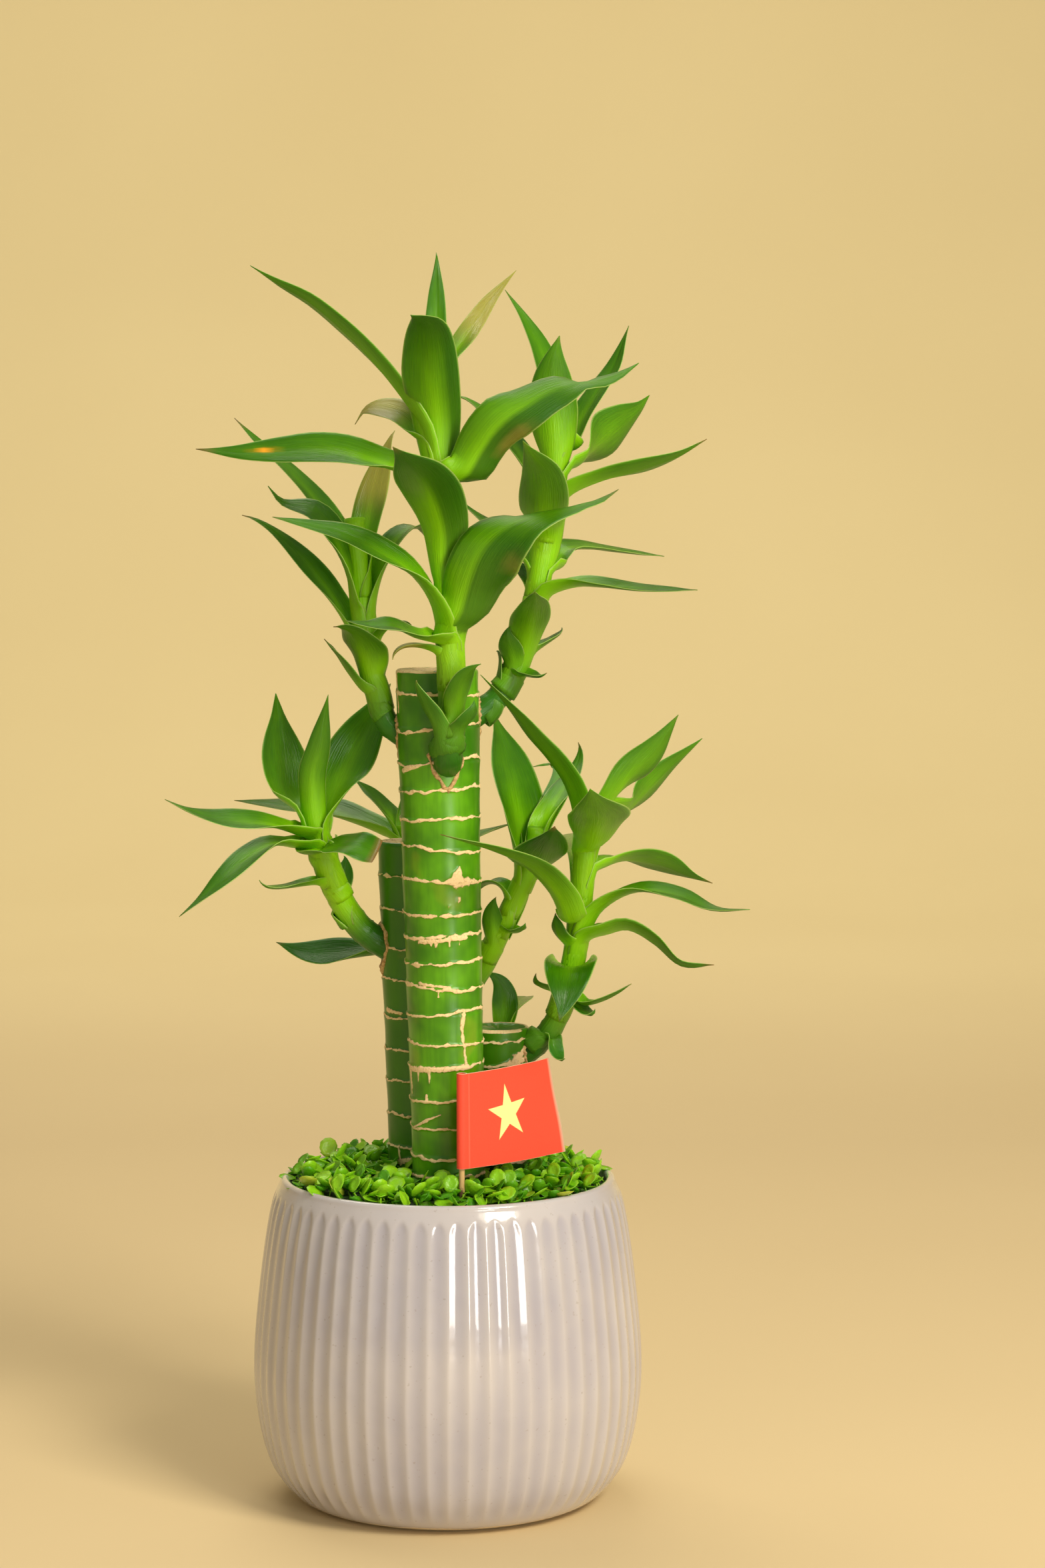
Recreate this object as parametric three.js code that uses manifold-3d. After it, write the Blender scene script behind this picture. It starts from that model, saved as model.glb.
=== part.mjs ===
// Lucky bamboo: three leafy canes standing in a ribbed, glazed pot, with a carpet of small leaves on the
// soil and a little paper flag on a toothpick. Millimetres, +Z up, origin at the centre of the pot's foot.
import * as THREE from "three";
import { mergeVertices } from "three/addons/utils/BufferGeometryUtils.js";
import Module from "manifold-3d";

const wasm = await Module();
wasm.setup();

const GAP = 0.3;                 // clearance between pieces that touch
const RIM_HEIGHT = 100.3;        // pot: top of the rim
const RIM_RADIUS = 51.6;         // pot: outside of the rim
const RIM_WALL = 2.9;            // pot: wall at the rim
const FOOT_RADIUS = 41.7;        // pot: flat foot
const BELLY_RADIUS = 60;         // pot: widest place
const BELLY_HEIGHT = 39;         // pot: height of the widest place
const FLOOR_HEIGHT = 8;          // pot: inside floor
const WALL = 5;                  // pot: wall at the belly
const FLOOR_WALL = 8;            // pot: wall where it turns into the floor
const RIB_COUNT = 60;            // pot: upright ribs round it
const RIB_DEPTH = 0.9;           // pot: how deep the grooves between the ribs are
const BAND_BOTTOM = 95.5;        // pot: the ribs end under a smooth band
const POT_SIDES = 32;            // pot: facets of its smooth inside
const SOIL_TOP = 94;             // soil: its surface, a little under the rim
const MAT_TOP = 98.2;            // ground cover: top of the tangle of its stalks
const LEAFLET_COUNT = 49;        // ground cover: leaflets
const LEAFLET_RADIUS = 4.6;      // ground cover: half the width of a leaflet
const LEAFLET_LEAN = 1.5;        // ground cover: how far a leaflet leans to any side
const LEAFLET_LEAST = 1.6;       // ground cover: least height of a leaflet over the mat
const LEAFLET_DRAW = 4.2;        // ground cover: how much the draw may add to it
const CANE_BOTTOM = 20;          // canes: cut ends, deep in the soil
const RIDGE = 0.45;              // canes: how far a ring scar stands out
const RIDGE_HALF = 0.9;          // canes: half the height of a ring scar
const CANE_SIDES = 12;
const CANE_CLEAR = RIDGE + GAP;  // shoots: clearance to the smooth cane
const COLLAR_LIP = 1.6;          // canes: the corky collar is this much wider than the shoot
const COLLAR_LENGTH = 1.6;       // canes: how far the collar stands out
const COLLAR_ROOT = 4;           // canes: how deep the collar is sunk into the cane
const COLLAR_FLARE = 1.2;        // canes: the collar's root is this much wider than its lip
const STEM_SIDES = 6;
const BLADE = 0.8;               // leaves: thickness
const BLADE_SUNK = 0.25;         // leaves: how far the root of the midrib is sunk into the stem
const WIDEST_AT = 0.4;           // leaves: share of the length where the blade is widest
const TIP_SHARE = 0.06;          // leaves: width at the tip, as a share of the widest
const ROOT_PULL = 0.45;          // leaves: how strongly a blade first follows the stem
const WRAP_ROOT = 1.3;           // leaves: half angle of the gutter at the root, in radians
const WRAP_TIP = 0.35;           // leaves: half angle of the gutter at the tip
const SHORT_LEAF = 10;           // leaves: up to this width a leaf is a short bract with few facets
const STICK_RADIUS = 0.9;        // flag: toothpick
const PAPER = 0.5;               // flag: thickness of the folded, glued paper
const TRIM = 0.15;               // slivers finer than this are merged away after the joins and cuts

const UP = new THREE.Vector3(0, 0, 1);
const EAST = new THREE.Vector3(1, 0, 0);
const NORTH = new THREE.Vector3(0, 1, 0);

const colours = {
  glaze: new THREE.MeshStandardMaterial({ color: 0xc9bfb4, roughness: 0.15, metalness: 0 }),
  soil: new THREE.MeshStandardMaterial({ color: 0x2c1f15, roughness: 1, metalness: 0 }),
  moss: new THREE.MeshStandardMaterial({ color: 0x5f9410, roughness: 0.5, metalness: 0 }),
  cane: new THREE.MeshStandardMaterial({ color: 0x4f9212, roughness: 0.35, metalness: 0 }),
  leaf: new THREE.MeshStandardMaterial({ color: 0x4c8f10, roughness: 0.4, metalness: 0 }),
  paper: new THREE.MeshStandardMaterial({ color: 0xe8412c, roughness: 0.8, metalness: 0 }),
  wood: new THREE.MeshStandardMaterial({ color: 0xc89a5a, roughness: 0.8, metalness: 0 }),
};

// Canes: axis at the bottom and at the top, radius at both, and the heights of the ring scars.
const canes = {
  tall: {
    bottom: [2, -12], top: [-3, -12], height: 257, radii: [10.2, 12.6],
    rings: [103, 110, 119, 127, 137, 144, 151, 160, 167, 176, 183, 193, 202, 211, 221, 229, 238, 248, 255.6],
  },
  mid: {
    bottom: [-6.8, 8], top: [-12.4, 8], height: 203, radii: [8.8, 9.1],
    rings: [109, 119, 129, 139, 149, 160, 171, 182, 193, 201.6],
  },
  short: {
    bottom: [14.5, 6], top: [15.7, 6], height: 145.5, radii: [9.3, 9.6],
    rings: [104, 114, 124.5, 135, 144],
  },
};

// Shoots: the cane each grows on, its stem's points and radii, and its leaves. A leaf is the height of its
// root on the stem, points along its midrib, the last of which is its tip, and its width. Where it needs
// them, two angles in degrees follow: how far its root is turned round the stem from the way it leans, and
// how far it rolls.
const shoots = {
  tall_front: {
    cane: "tall", collar: [0, -24.2, 231], radii: [4.6, 3],
    stem: [[0, -20, 228], [0.4, -28.5, 233.5], [1.2, -31, 247], [1, -31, 268], [-0.5, -30, 292],
      [-2.4, -29, 320], [-3.7, -28, 345]],
    leaves: [
      [237, [[-6, -35, 247], [-9, -38, 255]], 9],
      [238, [[6, -36, 243], [8, -37, 249]], 8],
      [244, [[4, -39, 253], [10, -43, 260]], 9],
      [262, [[-4, -38, 266.5], [-9, -42, 268], [-15.5, -46, 271], [-22.5, -49, 271.5], [-29.5, -51, 273]],
       13, 0, -25],
      [261, [[-9, -35, 265], [-16, -38, 261]], 6],
      [263, [[-5, -36, 279], [-10, -37, 286], [-18.5, -38, 292], [-29, -40, 297.5], [-40, -41, 300.5],
       [-51, -42, 303]], 14, 0, -40],
      [265, [[4.5, -37, 273.5], [6.5, -39, 280], [8.5, -42, 286], [11, -44, 291.5], [14.5, -45, 296],
       [20, -45, 300], [26.5, -44, 303], [38, -42, 306], [45, -40, 308], [50.5, -38, 311]], 22, -65, -45],
      [284, [[-1.5, -36, 298], [-4, -46, 307.5], [-7, -60, 314], [-11, -76, 319], [-15, -88, 323]],
       19.5, 0, 12],
      [312, [[-3.5, -34, 332], [-4.5, -41, 342], [-5, -51, 352], [-6, -64, 358.5], [-10, -80, 360]],
       18, 0, 14],
      [307, [[5, -37, 315], [9, -39, 321.5], [13, -42, 327.5], [17.5, -44, 332], [22.5, -44, 335],
       [29.5, -43, 339], [37, -42, 341.5], [44, -40, 342.5], [50.5, -38, 344.5], [56.5, -36, 348]],
       16.5, -75, -10],
      [316, [[-7, -30, 329], [-15, -31, 341], [-23, -31, 350.5], [-31, -29, 358.5], [-40.5, -27, 366.5],
       [-50, -25, 372], [-58, -24, 377]], 12.5, 0, 28],
      [297, [[-15, -26, 317], [-22.5, -25, 319.5], [-30.5, -24, 322], [-40, -22, 323], [-49.5, -20, 322.5],
       [-62.5, -18, 322], [-75, -16, 323]], 13, 0, -60],
      [318, [[-8.5, -24, 327], [-13, -22, 332.5], [-19, -18, 335], [-24.5, -14, 334.5], [-27.5, -10, 330.5]],
       12, 0, -35],
      [338, [[-3, -25, 363], [-3, -22, 381]], 7],
      [336, [[0.5, -24, 347.5], [4.5, -21, 354.5], [9, -18, 361.5], [13.5, -14, 368], [21, -10, 376.5]],
       6.5, 0, 60],
    ],
  },
  tall_left: {
    cane: "tall", collar: [-14.8, -9.5, 238], radii: [3.8, 3.1],
    stem: [[-11, -10, 235], [-18.4, -9, 241], [-21, -8, 250], [-23.2, -6, 258], [-25.4, -3, 273],
      [-27.1, 0, 290], [-28.1, 2, 302]],
    leaves: [
      [247, [[-26, -9, 251], [-30, -10, 256.5], [-33.5, -11, 262], [-37, -12, 266]], 9],
      [254, [[-26, -14, 264], [-34, -20, 270]], 16],
      [260, [[-41, 7, 286], [-63, 14, 303]], 10, 0, -20],
      [267, [[-30, -6, 286], [-34, -4, 296], [-40, -2, 304], [-50, -3, 307], [-54, -5, 312]], 15, 0, -30],
      [277, [[-32, 6, 293.5], [-40, 14, 307], [-48.5, 20, 316.5], [-58, 26, 325], [-66, 30, 333]], 11],
      [285, [[-22, 12, 311], [-16, 22, 329]], 11],
      [273, [[-15, 4, 296], [-1, 14, 284]], 13],
      [263, [[-17, -10, 270], [-10, -12, 268]], 6],
    ],
  },
  tall_right: {
    cane: "tall", collar: [9.6, -8, 244], radii: [3.9, 3.1],
    stem: [[6, -9.5, 241], [13.2, -7.5, 246], [17, -7, 250], [21.7, -6, 259], [25.8, -6, 273],
      [28.6, -5, 288], [31.9, -4, 308], [33.9, -4, 326]],
    leaves: [
      [254, [[25, -14, 255], [30, -18, 256]], 7],
      [260, [[31, -4, 265], [35, -2, 269]], 8],
      [256, [[19, -13, 263], [19, -15, 270]], 8],
      [250, [[16, -8, 257], [15, -5, 262]], 6],
      [258, [[25, -18, 270], [26, -40, 281]], 13],
      [274, [[31, -8, 279], [39, -10, 282], [47, -14, 282], [59, -18, 281], [75, -22, 281]], 12, 0, 12],
      [280, [[33, 6, 287], [36, 8, 292], [43, 14, 293], [52, 20, 292], [68, 30, 290]], 12, 0, 15],
      [279, [[24, 2, 285], [21, 6, 290]], 7],
      [288, [[29, -20, 303], [28, -38, 315], [22, -58, 325]], 16],
      [303, [[38, -6, 310], [47, -8, 314], [58, -12, 317], [69, -15, 321], [78, -16, 326]], 13, 0, -18],
      [311, [[40, 4, 318.5], [45.5, 10, 324], [53, 16, 330], [59.5, 22, 335.5], [63, 26, 340]], 20, 0, -75],
      [318, [[32, -8, 335], [34, -10, 357]], 16],
      [320, [[37.5, 6, 323], [41.5, 8, 332.5], [47, 10, 341.5], [51.5, 12, 348.5], [56, 14, 361]], 11],
      [317, [[32, 0, 340], [29, 8, 353], [24, 13, 363], [18, 16, 372]], 9],
      [302, [[17, 14, 329], [1, 20, 338]], 10],
      [284, [[17, 8, 297], [4, 16, 308]], 9],
    ],
  },
  mid_left: {
    cane: "mid", collar: [-19.9, 7, 171.5], radii: [4.5, 3.5],
    stem: [[-16.5, 7.5, 169], [-23.5, 6, 173.5], [-27.4, 5, 177], [-32.6, 3, 185], [-36.2, 1, 194],
      [-39, 0, 203], [-40.5, -1, 212]],
    leaves: [
      [189, [[-47, -6, 190.5], [-57, -12, 193]], 7],
      [185, [[-32, 9, 192], [-32, 11, 198]], 7],
      [195, [[-46.5, -10, 203], [-52.5, -13, 204], [-59, -17, 201], [-66, -23, 195.5], [-73, -27, 189.5],
       [-80, -30, 184]], 11, 0, -15],
      [200, [[-45, -8, 206.5], [-52.5, -13, 209.5], [-61.5, -17, 211], [-70, -20, 212.5], [-77.5, -22, 215],
       [-84.5, -23, 218.5]], 13, 0, -30],
      [205, [[-49, 6, 217], [-51, 10, 227], [-52, 13, 236], [-53, 16, 248]], 21],
      [205, [[-41, -5, 218], [-41, -6, 225], [-39, -7, 233], [-36, -8, 249]], 9],
      [203, [[-35, 2, 216.5], [-31, 6, 225.5], [-27, 9, 234], [-22.5, 12, 242], [-17.5, 16, 251]], 18, 0, 45],
      [197, [[-40, -10, 201], [-34, -14, 203], [-28, -18, 204], [-21, -20, 202]], 13, 0, 30],
    ],
  },
  mid_back: {
    cane: "mid", collar: [-12.6, 17, 161], radii: [3.8, 2.4],
    stem: [[-12, 13.5, 158.5], [-13.2, 20.5, 164], [-14.3, 23.5, 176], [-13.6, 25, 193], [-13.6, 26, 206]],
    leaves: [
      [202, [[-20, 32, 211], [-30, 38, 220]], 9],
      [198, [[-19, 30, 202.5], [-28, 36, 206], [-37, 42, 209], [-51, 50, 210], [-68.5, 60, 211]], 14, 0, -20],
      [204, [[-11, 30, 214], [-6, 34, 224]], 8],
      [167, [[-19, 24, 166.5], [-26, 24, 165.5], [-35, 27, 165.5], [-42, 29, 165.5], [-48.5, 31, 166.5],
       [-54, 32, 168.5]], 13, 0, -45],
      [193, [[-11, 60, 205], [-7, 85, 211]], 14],
      [186, [[6, 40, 200], [22, 52, 204]], 11],
    ],
  },
  mid_right: {
    cane: "mid", collar: [-3.2, 12, 150], radii: [3.9, 2.7],
    stem: [[-6.5, 10.4, 148.5], [0, 13, 152], [4, 14, 154.6], [10.5, 13, 162], [15.8, 10, 173],
      [21.4, 8, 185], [25.9, 6, 197], [27.7, 5, 207]],
    leaves: [
      [170, [[14, 6, 177], [15, 3, 186]], 7],
      [174, [[21, 5, 175], [24, 2, 178]], 7],
      [190, [[20, 10, 219], [14, 14, 243]], 25],
      [191, [[27, -6, 196], [29, -16, 202], [32, -32, 211]], 19],
      [184, [[16, 10, 189], [8, 16, 185]], 9],
      [201, [[35, 20, 218], [27, 30, 224]], 9],
      [205, [[37, 18, 219], [41, 26, 232]], 9],
      [197, [[25, 44, 208], [21, 70, 210]], 13],
    ],
  },
  short_right: {
    cane: "short", collar: [25, 5, 137.5], radii: [3.9, 2.8],
    stem: [[21.5, 5.5, 135], [28, 4.5, 140.5], [33, 2.5, 147], [36.6, 0, 158], [39.4, -2, 171],
      [40.9, -4, 186], [42.1, -5, 200], [44.1, -5, 213]],
    leaves: [
      [142, [[33, -1, 139], [36, -5, 137]], 6],
      [153, [[41, -6, 152], [45, -10, 153]], 7],
      [152, [[42, -6, 154], [48, -9, 156], [56, -12, 161]], 6],
      [156, [[30, -6, 159], [27, -10, 164]], 6],
      [160, [[38, -11, 166], [37, -18, 166], [36, -24, 162], [35, -27, 157], [33.5, -29, 152]], 17],
      [171, [[35, -6, 174], [33, -6, 182]], 8],
      [168, [[49, -7, 176], [55, -9, 177.5], [63, -11, 173.5], [71, -13, 167], [81, -14, 167]], 13, 0, -30],
      [173, [[43, -4, 176], [47, -6, 183], [57, -9, 189], [70, -13, 188], [80, -18, 184.5], [91, -24, 185]],
       12, 0, 10],
      [176, [[37, -12, 180], [34, -18, 188], [26, -27, 198], [13, -38, 205], [-2, -46, 210]], 13],
      [190, [[48, 2, 195.5], [55, 8, 197], [66, 14, 195], [75, 19, 191], [83, 22, 188]], 13, 0, -30],
      [198, [[44, -12, 203], [45, -20, 208], [45.5, -32, 213], [44, -46, 218], [41.5, -60, 224.5]], 20],
      [209, [[49, -8, 215.5], [55, -10, 224], [62.5, -11, 232], [70, -12, 243]], 12.5, 0, -50],
      [206, [[55, 8, 212], [63, 16, 219], [71, 22, 226], [80, 28, 233]], 14, 0, -70],
      [194, [[40.5, -7, 207.5], [37.5, -12, 221], [32, -16, 230], [26.5, -19, 236.5], [21.5, -22, 243],
       [16, -25, 249.5], [10, -28, 256]], 11],
      [190, [[42, 30, 201], [45, 56, 200]], 13],
    ],
  },
  short_back: {
    cane: "short", collar: [16.3, 15.5, 129], radii: [3, 2],
    stem: [[16, 12, 127], [16.8, 18.5, 131.5], [17.2, 21, 137], [17, 22.5, 144]],
    leaves: [
      [140, [[18, 28, 150], [12, 30, 159]], 9],
      [141, [[22, 40, 148], [26, 60, 146]], 10],
    ],
  },
};

// Flag: a sheet whose one edge is glued round the stick, and whose free corners point back to the right.
const flag = {
  stick: [4.2, -34],
  stickBottom: 82,
  stickTop: 136.6,
  hoist: [108.4, 137.2],
  cornerLow: [36.1, -5, 108.2],
  cornerHigh: [31, -3, 137],
  billow: 1.6,
};

// A seeded draw between 0 and 1.
function seeded(seed) {
  let state = seed;
  return () => {
    state = (state * 1664525 + 1013904223) % 4294967296;
    return state / 4294967296;
  };
}

function point([x, y, z]) {
  return new THREE.Vector3(x, y, z);
}

// A closed skin over a row of rings that all have as many points, with a flat end at each side.
function skin(rings) {
  const sides = rings[0].length;
  const positions = rings.flat().flatMap((p) => [p.x, p.y, p.z]);
  const faces = [];
  for (let level = 0; level + 1 < rings.length; level += 1) {
    for (let side = 0; side < sides; side += 1) {
      const next = (side + 1) % sides;
      const low = level * sides;
      const high = low + sides;
      faces.push(low + side, low + next, high + next, low + side, high + next, high + side);
    }
  }
  const last = (rings.length - 1) * sides;
  for (let side = 1; side + 1 < sides; side += 1) {
    faces.push(0, side + 1, side, last, last + side, last + side + 1);
  }
  const geometry = new THREE.BufferGeometry();
  geometry.setAttribute("position", new THREE.Float32BufferAttribute(positions, 3));
  geometry.setIndex(faces);
  return geometry;
}

function toSolid(geometry) {
  const merged = mergeVertices(geometry, 1e-4);
  return new wasm.Manifold(new wasm.Mesh({
    numProp: 3,
    vertProperties: new Float32Array(merged.attributes.position.array),
    triVerts: new Uint32Array(merged.index.array),
  }));
}

// The largest connected piece of a solid: loose scraps and sealed hollows are left out.
function mainPiece(body) {
  const pieces = body.decompose();
  return pieces.reduce((best, piece) => (piece.volume() > best.volume() ? piece : best));
}

function toGeometry(body) {
  const mesh = body.getMesh();
  const geometry = new THREE.BufferGeometry();
  geometry.setAttribute("position", new THREE.BufferAttribute(new Float32Array(mesh.vertProperties), 3));
  geometry.setIndex(new THREE.BufferAttribute(new Uint32Array(mesh.triVerts), 1));
  const plain = geometry.toNonIndexed();
  plain.computeVertexNormals();
  return plain;
}

const part = new THREE.Group();
part.name = "lucky_bamboo";

function addPiece(name, body, material) {
  const tidy = mainPiece(mainPiece(body).simplify(TRIM));
  const mesh = new THREE.Mesh(toGeometry(tidy), material);
  mesh.name = name;
  part.add(mesh);
}

// The share of a rising curve at which it passes a height.
function shareAt(curve, height) {
  let low = 0;
  let high = 1;
  for (let step = 0; step < 40; step += 1) {
    const middle = (low + high) / 2;
    if (curve.getPoint(middle).z < height) low = middle;
    else high = middle;
  }
  return low;
}

// A ring of points round a centre, in the plane of two directions.
function ringAround(centre, across, over, radius, sides) {
  return Array.from({ length: sides }, (_, side) => {
    const angle = (2 * Math.PI * side) / sides;
    return centre.clone().addScaledVector(across, radius * Math.cos(angle))
      .addScaledVector(over, radius * Math.sin(angle));
  });
}

// A level ring round an upright axis.
function circle(x, y, z, radius, sides) {
  return ringAround(new THREE.Vector3(x, y, z), EAST, NORTH, radius, sides);
}

// The pot's outer radius at a height: a quick swell from the foot, then a long taper to the rim.
const potOutline = new THREE.CatmullRomCurve3([
  [FOOT_RADIUS, 0, 0], [47.5, 0, 2.5], [53.9, 0, 10], [57.2, 0, 18.4], [BELLY_RADIUS, 0, BELLY_HEIGHT],
  [58, 0, 68], [54, 0, 93], [RIM_RADIUS, 0, RIM_HEIGHT],
].map(point));

function outlineRadius(height) {
  return potOutline.getPoint(shareAt(potOutline, height)).x;
}

// One ring of the pot's outside: every second point lies in a groove.
function ribbedRing(height, radius, groove) {
  return Array.from({ length: 2 * RIB_COUNT }, (_, index) => {
    const angle = (Math.PI * index) / RIB_COUNT;
    const at = radius - (index % 2 ? groove : 0);
    return new THREE.Vector3(at * Math.cos(angle), at * Math.sin(angle), height);
  });
}

// Inside of the pot between two heights, offset inwards by a clearance: the outline less the wall.
function potInside(floor, top, offset) {
  const heights = [floor, floor + 5, BELLY_HEIGHT, 70, SOIL_TOP, RIM_HEIGHT].filter((z) => z < top);
  return toSolid(skin([...heights, top].map((z) => {
    const height = Math.min(z, RIM_HEIGHT);
    const [lowest, from, to] = z < BELLY_HEIGHT ? [0, FLOOR_WALL, WALL] : [BELLY_HEIGHT, WALL, RIM_WALL];
    const highest = z < BELLY_HEIGHT ? BELLY_HEIGHT : RIM_HEIGHT;
    const wall = THREE.MathUtils.mapLinear(height, lowest, highest, from, to);
    return circle(0, 0, z, outlineRadius(height) - wall - offset, POT_SIDES);
  })));
}

function makePot() {
  const levels = [
    [0, 0], [3, 0.1], [10, 0.6], [20, 1], [BELLY_HEIGHT, 1], [68, 1], [BAND_BOTTOM - 1, 1], [BAND_BOTTOM, 0],
  ];
  const rings = levels.map(([z, share]) => ribbedRing(z, outlineRadius(z), RIB_DEPTH * share));
  rings.push(ribbedRing(RIM_HEIGHT - 0.9, RIM_RADIUS, 0));
  rings.push(ribbedRing(RIM_HEIGHT, RIM_RADIUS - 0.9, 0));
  return toSolid(skin(rings)).subtract(potInside(FLOOR_HEIGHT, RIM_HEIGHT + 5, 0));
}

function caneAxis(cane, height) {
  const share = (height - CANE_BOTTOM) / (cane.height - CANE_BOTTOM);
  const along = (index) => cane.bottom[index] + share * (cane.top[index] - cane.bottom[index]);
  return { x: along(0), y: along(1), radius: cane.radii[0] + share * (cane.radii[1] - cane.radii[0]) };
}

// A cane grown outwards by a clearance, with or without its ring scars.
function caneBody(cane, grow, scarred) {
  const levels = [[CANE_BOTTOM - grow, 0]];
  for (const ring of scarred ? cane.rings : []) {
    levels.push([ring - RIDGE_HALF, 0], [ring, RIDGE]);
  }
  levels.push([cane.height + grow, scarred ? -RIDGE : 0]);
  return toSolid(skin(levels.map(([z, ridge]) => {
    const { x, y, radius } = caneAxis(cane, z);
    return circle(x, y, z, radius + ridge + grow, CANE_SIDES);
  })));
}

// A round plug along a line, for collars and holes.
function plug(from, to, radiusFrom, radiusTo, sides) {
  const axis = to.clone().sub(from).normalize();
  const across = UP.clone().cross(axis).normalize();
  if (across.lengthSq() < 0.5) across.copy(EAST);
  const over = axis.clone().cross(across);
  return toSolid(skin([
    ringAround(from, across, over, radiusFrom, sides),
    ringAround(to, across, over, radiusTo, sides),
  ]));
}

// The corky collar that a shoot breaks out of, from inside the cane to just past its skin.
function collarBody(shoot, grow) {
  const out = point(shoot.stem[1]).sub(point(shoot.stem[0])).normalize();
  const face = point(shoot.collar);
  const from = face.clone().addScaledVector(out, -COLLAR_ROOT);
  const to = face.clone().addScaledVector(out, COLLAR_LENGTH + grow);
  const radius = shoot.radii[0] + COLLAR_LIP + grow;
  return plug(from, to, radius + COLLAR_FLARE, radius, 9);
}

function stemCurve(shoot) {
  return new THREE.CatmullRomCurve3(shoot.stem.map(point), false, "centripetal");
}

function stemRadius(shoot, share) {
  return THREE.MathUtils.lerp(shoot.radii[0], shoot.radii[1], share);
}

function stemBody(shoot) {
  const curve = stemCurve(shoot);
  const steps = shoot.stem.length + 2;
  const rings = Array.from({ length: steps + 1 }, (_, step) => {
    const share = step / steps;
    const centre = curve.getPoint(share);
    const along = curve.getTangent(share);
    const across = NORTH.clone().cross(along).normalize();
    const over = along.clone().cross(across);
    return ringAround(centre, across, over, stemRadius(shoot, share), STEM_SIDES);
  });
  return toSolid(skin(rings));
}

// A leaf's half width along it, as a share of its widest: a clasping base, a full middle, a drawn-out tip.
function bladeShare(share, base) {
  if (share < WIDEST_AT) return 1 - (1 - base) * (1 - share / WIDEST_AT) ** 2;
  return 1 - (1 - TIP_SHARE) * ((share - WIDEST_AT) / (1 - WIDEST_AT)) ** 1.8;
}

// A midrib leaves the stem along it, passes the given points and ends at the last. A plain arc needs two.
function midribCurve(root, rise, path) {
  const start = root.clone().addScaledVector(rise, ROOT_PULL * root.distanceTo(path[0]));
  if (path.length > 2) return new THREE.CatmullRomCurve3([root, start, ...path]);
  const [middle, tip] = path;
  const bend = middle.clone().multiplyScalar(8).sub(root).addScaledVector(start, -3).sub(tip).divideScalar(3);
  return new THREE.CubicBezierCurve3(root, start, bend, tip);
}

// A leaf: a blade along its midrib that wraps the stem at its base, like a gutter, and opens flatter
// towards the tip.
function leafBody(shoot, leaf) {
  const [rootHeight, places, width, turn = 0, roll = 0] = leaf;
  const stem = stemCurve(shoot);
  const share = shareAt(stem, rootHeight);
  const radius = stemRadius(shoot, share);
  const path = places.map(point);
  const middle = path[Math.floor((path.length - 1) / 2)];
  const axis = stem.getPoint(share);
  const out = middle.clone().sub(axis).addScaledVector(path.at(-1).clone().sub(axis), 0.5).setZ(0).normalize()
    .applyAxisAngle(UP, THREE.MathUtils.degToRad(turn));
  const root = axis.clone().addScaledVector(out, radius - BLADE_SUNK);
  const midrib = midribCurve(root, stem.getTangent(share), path);
  const level = UP.clone().cross(out);
  const steps = width > SHORT_LEAF ? 6 : 3;
  const clasp = Math.min(1, (2.1 * radius) / width);
  const rings = Array.from({ length: steps + 1 }, (_, step) => {
    const at = step / steps;
    const centre = midrib.getPointAt(at);
    const along = midrib.getTangentAt(at);
    const across = level.clone().addScaledVector(along, -level.dot(along)).normalize()
      .applyAxisAngle(along, THREE.MathUtils.degToRad(roll) * THREE.MathUtils.smoothstep(at, 0.1, 0.65));
    const upper = along.clone().cross(across);
    const wrap = WRAP_TIP + (WRAP_ROOT - WRAP_TIP) * (1 - at) ** 2;
    const gutter = ((width / 2) * bladeShare(at, clasp)) / wrap;
    const edge = (angle, shift) => centre.clone()
      .addScaledVector(across, (gutter - shift) * Math.sin(angle))
      .addScaledVector(upper, gutter - (gutter - shift) * Math.cos(angle));
    const upperFace = [wrap, 0, -wrap].map((angle) => edge(angle, BLADE / 2));
    const lowerFace = [-wrap, 0, wrap].map((angle) => edge(angle, -BLADE / 2));
    return [...upperFace, ...lowerFace];
  });
  return toSolid(skin(rings));
}

// A shoot stands off its cane and collar by the clearance.
function makeShoot(shoot) {
  const blades = shoot.leaves.map((leaf) => leafBody(shoot, leaf));
  return wasm.Manifold.union([stemBody(shoot), ...blades])
    .subtract(caneBody(canes[shoot.cane], CANE_CLEAR, false)).subtract(collarBody(shoot, GAP));
}

function makeCane(name) {
  const collars = Object.values(shoots).filter((shoot) => shoot.cane === name)
    .map((shoot) => collarBody(shoot, 0));
  return wasm.Manifold.union([caneBody(canes[name], 0, true), ...collars]);
}

function stickBody(grow) {
  const [x, y] = flag.stick;
  const bottom = new THREE.Vector3(x, y, flag.stickBottom - grow);
  const top = new THREE.Vector3(x, y, flag.stickTop + grow);
  return plug(bottom, top, STICK_RADIUS + grow, STICK_RADIUS + grow, 8);
}

function makeSoil() {
  const holes = Object.values(canes).map((cane) => caneBody(cane, GAP, false));
  return potInside(FLOOR_HEIGHT + GAP, SOIL_TOP, GAP)
    .subtract(wasm.Manifold.union([...holes, stickBody(GAP)]));
}

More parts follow.
